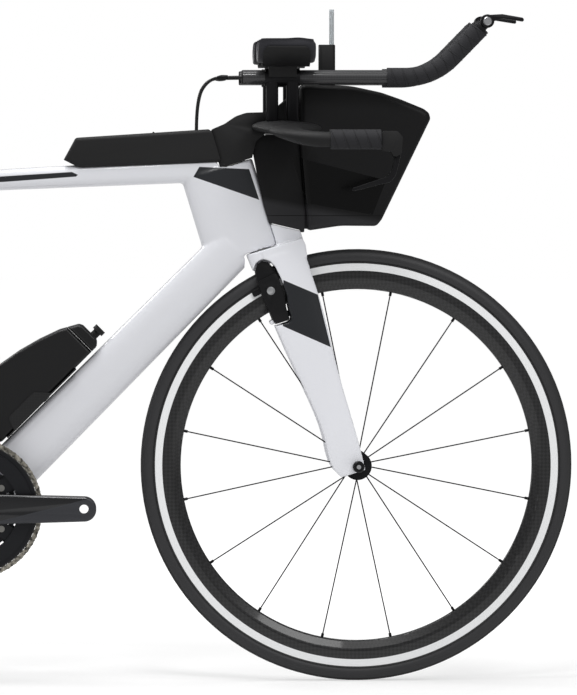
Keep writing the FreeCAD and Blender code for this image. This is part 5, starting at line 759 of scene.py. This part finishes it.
def moulded_finishes(c):
    """Carbon, plastics and cable housing."""
    carbon = Finish("Satin carbon", scaled(c.carbon, 1.25), 0.55, coat=0.05)
    carbon.vary(carbon.weave(TUBE_WEAVE), c.carbon, scaled(c.carbon, 1.5))
    tube = Finish("Clear coated carbon tube", scaled(c.carbon, 4.0), 0.4, coat=0.5)
    tube.vary(tube.weave(TUBE_WEAVE), scaled(c.carbon, 3.4), scaled(c.carbon, 4.8))
    plastic = Finish("Matte black plastic", c.black, 0.62)
    plastic.grain("moulded")
    hydration = Finish("Moulded hydration body", c.black, 0.5, specular=0.2)
    hydration.grain("hydration")
    hydration.tint(hydration.polygon(HYDRATION_PANEL), scaled(c.black, 0.25), 0.12, coat=0.1)
    hydration.tint(hydration.polygon(HYDRATION_BAND, BAND_BLUR), scaled(c.black, 5.5))
    seam = hydration.between(hydration.axes()["Z"], *HYDRATION_SEAM, CRISP_EDGE)
    hydration.tint(seam, scaled(c.black, 0.3), 0.8)
    bottle = Finish("Smoked bottle plastic", c.bottle, 0.4, coat=0.05)
    bottle.grain("machined")
    straw = Finish("Clear straw", c.straw, 0.2)
    straw.shader.inputs["Transmission Weight"].default_value = 0.6
    housing = Finish("Cable housing", scaled(c.black, 0.9), 0.45)
    return {"carbon": carbon, "tube": tube, "plastic": plastic, "hydration": hydration, "bottle": bottle,
            "straw": straw, "housing": housing}


def soft_finishes(c):
    """Bar tape, fabric on foam and the saddle cover."""
    tape = Finish("Wound bar tape", c.tape, 0.78)
    turn = tape.math("FRACT", tape.math("MULTIPLY", tape.along(*TAPE_RUN), 1.0 / sizes().tape_pitch))
    tape.bump(turn, *TAPE_BUMP)
    # Painted shade: the start of each turn is darkened where the overlapping turns make a groove
    tape.tint(tape.below(turn, 0.0, TAPE_GROOVE_SHADE_SHARE), scaled(c.tape, 0.35))
    tape.grain("tape")
    foam = Finish("Fabric on foam pad", c.foam, 0.9)
    cloth = foam.add("ShaderNodeTexVoronoi")
    cloth.inputs["Scale"].default_value = 1.0 / CLOTH_CELL
    foam.link(foam.where(), cloth.inputs["Vector"])
    foam.bump(cloth.outputs["Distance"], *CLOTH_BUMP)
    foam.shader.inputs["Sheen Weight"].default_value = 0.3
    leather = Finish("Saddle cover", c.leather, 0.6)
    leather.grain("leather")
    return {"tape": tape, "foam": foam, "leather": leather}


def make_finishes():
    """All the materials, named for what they are."""
    c = colours()
    STORE.update(paint_finishes(c))
    for end, axle in AXLES:
        STORE.update(wheel_finishes(c, end, axle))
    for group in (metal_finishes, moulded_finishes, soft_finishes):
        STORE.update(group(c))
    for key, sense in (("crank_right", 1.0), ("crank_left", -1.0)):
        STORE[key] = crank_finish(c, key, sense)
    STORE["rings"] = ring_finish(c)
    for key, pivot in BRAKE_PIVOTS:
        STORE[key] = brake_finish(c, key, pivot)


# Tape on the grips and extensions
GRIP_REAR = 0.452
GRIP_HALF_SPAN = 0.195
GRIP_HEIGHT = 0.8416
GRIP_RUN = Vector((0.07, 0.0, 0.0))
GRIP_RADIUS = 0.0149
WRAP_HALF_SPAN = 0.062
WRAP_RADIUS = 0.0143
WRAP_CORNERS = ((0.55, 0.938), (0.6122, 0.938), (0.6835, 1.0108))
WRAP_BEND = 0.1
WRAP_STEPS = 12


def wrap_path(left):
    """Middle line of a taped extension: two straight runs joined by an arc."""
    first, corner, last = (Vector((x, left, z)) for x, z in WRAP_CORNERS)
    into = (corner - first).normalized()
    out = (last - corner).normalized()
    turn = into.angle(out)
    reach = WRAP_BEND * math.tan(turn / 2)
    middle = corner + (out - into).normalized() * (WRAP_BEND / math.cos(turn / 2))
    begin = corner - into * reach
    path = [first]
    for step in range(WRAP_STEPS + 1):
        path.append(middle + Matrix.Rotation(-turn * step / WRAP_STEPS, 3, SIDE) @ (begin - middle))
    path.append(last)
    return path


# Shift cables; a profile is (radius, height) from one end to the other
CABLE_ROUTE = ((0.3276, 0.062, 0.938), (0.2976, 0.062, 0.938), (0.268, 0.034, 0.936), (0.2496, 0.007, 0.905),
               (0.2496, 0.007, 0.854))
CABLE_EXIT = (0.3196, 0.062, 0.938)
CABLE_CURVE_ORDER = 3
CABLE_CURVE_STEPS = 24
CABLE_ROUNDNESS = 5
CABLE_JOINT_AHEAD = 0.289
CABLE_JOINT_PROFILE = ((0.0024, -0.0095), (0.0036, -0.0085), (0.0042, -0.002), (0.0042, 0.003),
                       (0.0033, 0.0085), (0.0024, 0.009))


def shift_cable(label, side):
    """A cable from the rear end of an extension into the storage box, on one smooth curve."""
    curve = bpy.data.curves.new("shift_cable_route_" + label, "CURVE")
    curve.dimensions = "3D"
    spline = curve.splines.new("NURBS")
    spline.points.add(len(CABLE_ROUTE) - 1)
    for point, (x, y, z) in zip(spline.points, CABLE_ROUTE):
        point.co = (x, y * side, z, 1.0)
    spline.order_u = CABLE_CURVE_ORDER
    spline.use_endpoint_u = True
    curve.resolution_u = CABLE_CURVE_STEPS
    route = new_object("shift_cable_route_" + label, curve)
    path = [vert.co.copy() for vert in as_mesh(route).vertices]
    curve.bevel_depth = sizes().cable_radius
    curve.bevel_resolution = CABLE_ROUNDNESS
    curve.use_fill_caps = True
    mesh = as_mesh(route)
    bpy.data.objects.remove(route)
    mesh.materials.clear()
    mesh.materials.append(finish_of("housing").material)
    mesh.shade_smooth()
    item = new_object("shift_cable_" + label, mesh)
    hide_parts("shift_cables")
    shape = bmesh.new()
    near = min(range(len(path) - 1), key=lambda i: abs(path[i].x - CABLE_JOINT_AHEAD))
    lathe(shape, path[near], path[near + 1] - path[near], CABLE_JOINT_PROFILE, sides=20)
    joint = joined("cable_joint_" + label, shape, finish_of("alloy"), None)
    x, y, z = CABLE_EXIT
    for piece in (item, joint):
        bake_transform(piece)


# Small pieces
VALVE_ANGLE = math.radians(112.5)
VALVE_FOOT = 0.2745
VALVE_PROFILE = ((0.003, -0.002), (0.003, 0.03), (0.0022, 0.0305), (0.0022, 0.041), (0.0012, 0.042))
GASKET_OUTLINE = ((0.409, 0.84), (0.4175, 0.7035), (0.4255, 0.7035), (0.416, 0.84))
GASKET_HALF_WIDTH = 0.015
SHIFTER_PIVOT = (0.6968, 1.0245)
SHIFTER_CAP_RADIUS = 0.0066
SHIFTER_CAP_HEIGHT = 0.0014
CRANK_CAP_PROFILE = ((0.0125, -0.002), (0.0125, 0.0008), (0.0115, 0.0014), (0.0075, 0.0014), (0.0075, -0.001))
EXTENSION_CAP_PROFILE = ((0.0108, -0.001), (0.0108, 0.0012), (0.01, 0.002), (0.004, 0.002), (0.0036, 0.001))
SADDLE_SCREW_PLACES = (-0.262, -0.2345)
SADDLE_SCREW_SHARE = 0.6


def valve(end, axle):
    """Valve that points from the rim to the axle."""
    shape = bmesh.new()
    inward = Vector((-math.cos(VALVE_ANGLE), 0.0, -math.sin(VALVE_ANGLE)))
    lathe(shape, axle - inward * VALVE_FOOT, inward, VALVE_PROFILE, sides=16)
    joined(end + "_valve", shape, finish_of("silver"), end + "_wheel")


def gasket():
    """Dark strip that closes the seam between the stem blade and the hydration body."""
    shape = bmesh.new()
    plate(shape, GASKET_OUTLINE, GASKET_HALF_WIDTH)
    joined("hydration_gasket", shape, finish_of("hydration"), "steering")


def outer_face(node, side):
    """Y of a node's outer face on one side."""
    low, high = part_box(node)
    return high.y if side > 0 else low.y


def shifter_cap(label, side):
    """Bare screw on a shift lever's pivot."""
    shape = bmesh.new()
    x, z = SHIFTER_PIVOT
    centre = Vector((x, outer_face("shift_lever_" + label, side), z))
    cap_screw(shape, centre, SIDE * side, SHIFTER_CAP_RADIUS, SHIFTER_CAP_HEIGHT)
    joined("shifter_cap_" + label, shape, finish_of("silver"), "shift_lever_" + label)


def crank_cap(label, side):
    """Ring round the end of the crank's axle."""
    shape = bmesh.new()
    centre = Vector((BOTTOM_BRACKET.x, outer_face("crank_" + label, side), BOTTOM_BRACKET.z))
    lathe(shape, centre, SIDE * side, CRANK_CAP_PROFILE, sides=40)
    joined("crank_cap_" + label, shape, finish_of("alloy"), "crank")


def extension_caps():
    """Caps on the rear ends of the extensions, where the cables come out."""
    shape = bmesh.new()
    x, y, z = CABLE_EXIT
    for _, side in SIDES:
        lathe(shape, Vector((x, y * side, z)), BACKWARD, EXTENSION_CAP_PROFILE)
    joined("extension_caps", shape, finish_of("plastic"), "steering")


def saddle_screws():
    """Screws on top of the rail clamp."""
    shape = bmesh.new()
    radius, height = sizes().screw_radius, sizes().screw_height * SADDLE_SCREW_SHARE
    for ahead in SADDLE_SCREW_PLACES:
        cap_screw(shape, Vector((ahead, 0.0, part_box("seatpost")[1].z)), UP, radius, height)
    joined("saddle_clamp_screws", shape, finish_of("steel"), "frame")


# Stage: floor, world, lights and camera
WHITE = (1.0, 1.0, 1.0, 1.0)
FLOOR_SHADE = 0.55
FLOOR_GLOW = 0.24
FLOOR_SEEN_GLOW = 0.24
FLOOR_FAR_GLOW = 0.36
FLOOR_FADE_FROM = 0.7
FLOOR_FADE_OVER = 1.1
WORLD_LIGHT = 0.32
WORLD_SEEN = 1.0
LIGHTS = (
    # Name, place, power, size and aim
    ("key_light", (1.9, -3.4, 3.2), 40.0, 1.5, (0.2, 0.0, 0.6)),
    ("strip_light", (0.3, -1.9, 2.7), 15.0, 0.5, (0.3, 0.0, 0.8)),
    ("top_light", (-0.6, -0.2, 3.6), 78.0, 2.0, (0.0, 0.0, 0.4)),
    ("back_light", (-2.4, 2.6, 2.6), 40.0, 1.6, (0.0, 0.0, 0.6)),
)
VIEW_AIM = Vector((0.3927, 0.0, 0.5188))
CAMERA_HEIGHT = 0.81
SENSOR_WIDTH = 36.0
CLIP_END = 100.0


def aim_at(item, place, aim):
    """Set an object at a place, with its -Z towards another."""
    item.location = place
    item.rotation_euler = (Vector(aim) - Vector(place)).to_track_quat("-Z", "Y").to_euler()


def make_floor():
    """Pale floor that glows a little, and more to the camera and far off."""
    half = sizes().floor_size
    mesh = bpy.data.meshes.new("studio_floor")
    corners = [(-half, -half, 0), (half, -half, 0), (half, half, 0), (-half, half, 0)]
    mesh.from_pydata(corners, [], [(0, 1, 2, 3)])
    floor = new_object("studio_floor", mesh)
    finish = Finish("Pale studio floor", scaled(colours().floor, FLOOR_SHADE), 0.9, specular=0.0)
    finish.shader.inputs["Emission Color"].default_value = WHITE
    seen = finish.add("ShaderNodeLightPath").outputs["Is Camera Ray"]
    reach = finish.add("ShaderNodeVectorMath", operation="LENGTH")
    finish.link(finish.where(), reach.inputs[0])
    far = finish.above(reach.outputs["Value"], FLOOR_FADE_FROM, FLOOR_FADE_OVER)
    to_camera = finish.math("ADD", finish.math("MULTIPLY", far, FLOOR_FAR_GLOW), FLOOR_SEEN_GLOW)
    glow = finish.math("ADD", finish.math("MULTIPLY", seen, to_camera), FLOOR_GLOW)
    finish.link(glow, finish.shader.inputs["Emission Strength"])
    mesh.materials.append(finish.material)


def make_world():
    """White surround, dimmer as a light than to the camera."""
    world = bpy.data.worlds.new("Studio")
    world.use_nodes = True
    tree = world.node_tree
    back = tree.nodes["Background"]
    back.inputs["Color"].default_value = WHITE
    path = tree.nodes.new("ShaderNodeLightPath")
    level = tree.nodes.new("ShaderNodeMapRange")
    level.inputs["To Min"].default_value = WORLD_LIGHT
    level.inputs["To Max"].default_value = WORLD_SEEN
    tree.links.new(path.outputs["Is Camera Ray"], level.inputs["Value"])
    tree.links.new(level.outputs["Result"], back.inputs["Strength"])
    bpy.context.scene.world = world


def make_lights():
    """Soft lights round the bicycle."""
    for name, place, power, size, aim in LIGHTS:
        light = bpy.data.lights.new(name, "AREA")
        light.energy = power
        light.size = size
        lamp = new_object(name, light)
        aim_at(lamp, place, aim)


def make_camera():
    """Camera at the bicycle's right side."""
    scene = bpy.context.scene
    camera = bpy.data.cameras.new("Camera")
    item = new_object("Camera", camera)
    place = Vector((0.0, -sizes().camera_distance, CAMERA_HEIGHT))
    aim_at(item, place, VIEW_AIM)
    camera.sensor_width = SENSOR_WIDTH
    camera.lens = SENSOR_WIDTH * (VIEW_AIM - place).length / sizes().view_height
    camera.clip_end = CLIP_END
    scene.camera = item
    scene.view_settings.view_transform = "Standard"


# Operators
class BICYCLE_OT_materials(bpy.types.Operator):
    """Make the materials"""
    bl_idname = "bicycle.materials"
    bl_label = "Make materials"

    def execute(self, context):
        make_finishes()
        return {"FINISHED"}


class BICYCLE_OT_frameset(bpy.types.Operator):
    """Blend the frame and fork into smooth painted shells"""
    bl_idname = "bicycle.frameset"
    bl_label = "Frame and fork"

    def execute(self, context):
        voxel = sizes().frame_voxel
        body = copy_node("frame", "frame_shell", finish_of("frame_paint"), voxel, rounds=5, outer_only=True)
        legs = copy_node("fork", "fork_shell", finish_of("lit_fork_paint"), voxel * FORK_VOXEL_SHARE, rounds=4,
                         outer_only=True)
        for shell, name in ((body, "frame"), (legs, "steering")):
            draw_in(shell.data, sizes().shell_gap)
            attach(shell, name)
        dress(finish_of("steel"), "frame_bearings")
        return {"FINISHED"}


class BICYCLE_OT_wheels(bpy.types.Operator):
    """Finish both wheels, with valves"""
    bl_idname = "bicycle.wheels"
    bl_label = "Wheels"

    def execute(self, context):
        for end, axle in AXLES:
            dress(finish_of(end + "_tyre"), end + "_tyre")
            dress(finish_of(end + "_rim"), end + "_rim")
            dress(finish_of("spoke"), end + "_spokes")
            dress(finish_of("alloy"), end + "_hub", end + "_qr_lever")
            dress(finish_of(end + "_axle"), end + "_axle")
            valve(end, axle)
        return {"FINISHED"}


class BICYCLE_OT_cockpit(bpy.types.Operator):
    """Finish bars, stem, levers, shifters and the hydration body"""
    bl_idname = "bicycle.cockpit"
    bl_label = "Cockpit"

    def execute(self, context):
        dress(finish_of("hydration"), "hydration_bottle")
        dress(finish_of("plastic"), "base_bar")
        dress(finish_of("tube"), "extensions")
        rounded(finish_of("hydration"), PLAIN_EDGES, "stem_blade")
        rounded(finish_of("plastic"), SOFT_EDGES, "stem", "lever_bodies", "straw_holder")
        rounded(finish_of("plastic"), THIN_EDGES, "pad_cups")
        rounded(finish_of("alloy"), LEVER_EDGES, "brake_lever_left", "brake_lever_right", "risers",
                "shift_lever_left", "shift_lever_right")
        dress(finish_of("alloy"), "shifter_bodies")
        dress(finish_of("straw"), "straw")
        gasket()
        for label, side in SIDES:
            shift_cable(label, side)
        return {"FINISHED"}


class BICYCLE_OT_soft(bpy.types.Operator):
    """Shape the soft pieces: arm pads, saddle cover and bar tape"""
    bl_idname = "bicycle.soft"
    bl_label = "Soft pieces"

    def execute(self, context):
        voxel = sizes().pad_voxel
        pads = copy_node("arm_pads", "arm_pad_cushions", finish_of("foam"), voxel, rounds=2)
        fill_cushion(pads, sizes().cushion_inset, sizes().cushion_crown)
        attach(pads, "steering")
        cover = copy_node("saddle_cover", "saddle_cushion", finish_of("leather"), voxel, rounds=2)
        fill_cushion(cover, sizes().cushion_inset, sizes().cushion_crown)
        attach(cover, "frame")
        tape = copy_node("bar_tape", "wound_tape", finish_of("tape"))
        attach(tape, "steering")
        for label, side in SIDES:
            start = Vector((GRIP_REAR, GRIP_HALF_SPAN * side, GRIP_HEIGHT))
            grip = [start, start + GRIP_RUN]
            wrap = wrap_path(WRAP_HALF_SPAN * side)
            wound_ridges("grip_turns_" + label, grip, GRIP_RADIUS, finish_of("tape"))
            wound_ridges("wrap_turns_" + label, wrap, WRAP_RADIUS, finish_of("tape"))
        return {"FINISHED"}


class BICYCLE_OT_drivetrain(bpy.types.Operator):
    """Finish the drivetrain and the brakes"""
    bl_idname = "bicycle.drivetrain"
    bl_label = "Drivetrain and brakes"

    def execute(self, context):
        dress(finish_of("chain"), "chain")
        dress(finish_of("cassette"), "cassette")
        dress(finish_of("rings"), "chainrings")
        for node in ("crank_right", "crank_left"):
            rounded(finish_of(node), THIN_EDGES, node)
        dress(finish_of("steel"), "chainring_bolts", "fd_cage")
        dress(finish_of("alloy"), "rd_knuckle", "rd_carrier", "rd_cage", "fd_mount", "rear_brake_mount")
        dress(finish_of("plastic"), "guide_pulley", "tension_pulley")
        rounded(finish_of("front_brake"), SOFT_EDGES, "front_brake_arm_left", "front_brake_arm_right")
        rounded(finish_of("rear_brake"), SOFT_EDGES, "rear_brake_arm_left", "rear_brake_arm_right")
        return {"FINISHED"}


class BICYCLE_OT_luggage(bpy.types.Operator):
    """Finish the storage box, frame bottle, cage, seatpost and saddle base"""
    bl_idname = "bicycle.luggage"
    bl_label = "Storage, bottle and seat"

    def execute(self, context):
        dress(finish_of("plastic"), "storage_lid", "bottle_spout", "saddle_shell")
        rounded(finish_of("plastic"), PLAIN_EDGES, "storage_box")
        dress(finish_of("bottle"), "bottle")
        dress(finish_of("carbon"), "bottle_cage", "seatpost")
        dress(finish_of("steel"), "saddle_rails")
        return {"FINISHED"}


class BICYCLE_OT_details(bpy.types.Operator):
    """Add caps and screw heads"""
    bl_idname = "bicycle.details"
    bl_label = "Small details"

    def execute(self, context):
        for label, side in SIDES:
            shifter_cap(label, side)
            crank_cap(label, side)
        extension_caps()
        saddle_screws()
        return {"FINISHED"}


class BICYCLE_OT_stage(bpy.types.Operator):
    """Set floor, light and camera"""
    bl_idname = "bicycle.stage"
    bl_label = "Stage"

    def execute(self, context):
        make_floor()
        make_world()
        make_lights()
        make_camera()
        return {"FINISHED"}


class BICYCLE_PT_panel(bpy.types.Panel):
    """Steps and sizes of the bicycle"""
    bl_idname = "BICYCLE_PT_panel"
    bl_label = "Bicycle"
    bl_space_type = "VIEW_3D"
    bl_region_type = "UI"
    bl_category = "Bicycle"

    def draw(self, context):
        for step in STEPS:
            self.layout.operator(step.bl_idname)
        for group in (context.scene.bicycle_sizes, context.scene.bicycle_colours):
            for name in group.__annotations__:
                self.layout.prop(group, name)


STEPS = (BICYCLE_OT_materials, BICYCLE_OT_frameset, BICYCLE_OT_wheels, BICYCLE_OT_cockpit, BICYCLE_OT_soft,
         BICYCLE_OT_drivetrain, BICYCLE_OT_luggage, BICYCLE_OT_details, BICYCLE_OT_stage)
CLASSES = (BicycleColours, BicycleSizes) + STEPS + (BICYCLE_PT_panel,)


def register():
    for item in CLASSES:
        bpy.utils.register_class(item)
    bpy.types.Scene.bicycle_colours = bpy.props.PointerProperty(type=BicycleColours)
    bpy.types.Scene.bicycle_sizes = bpy.props.PointerProperty(type=BicycleSizes)


def unregister():
    del bpy.types.Scene.bicycle_sizes
    del bpy.types.Scene.bicycle_colours
    for item in reversed(CLASSES):
        bpy.utils.unregister_class(item)


def main():
    register()
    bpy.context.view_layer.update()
    for step in STEPS:
        group, name = step.bl_idname.split(".")
        getattr(getattr(bpy.ops, group), name)()


if __name__ == "__main__":
    main()
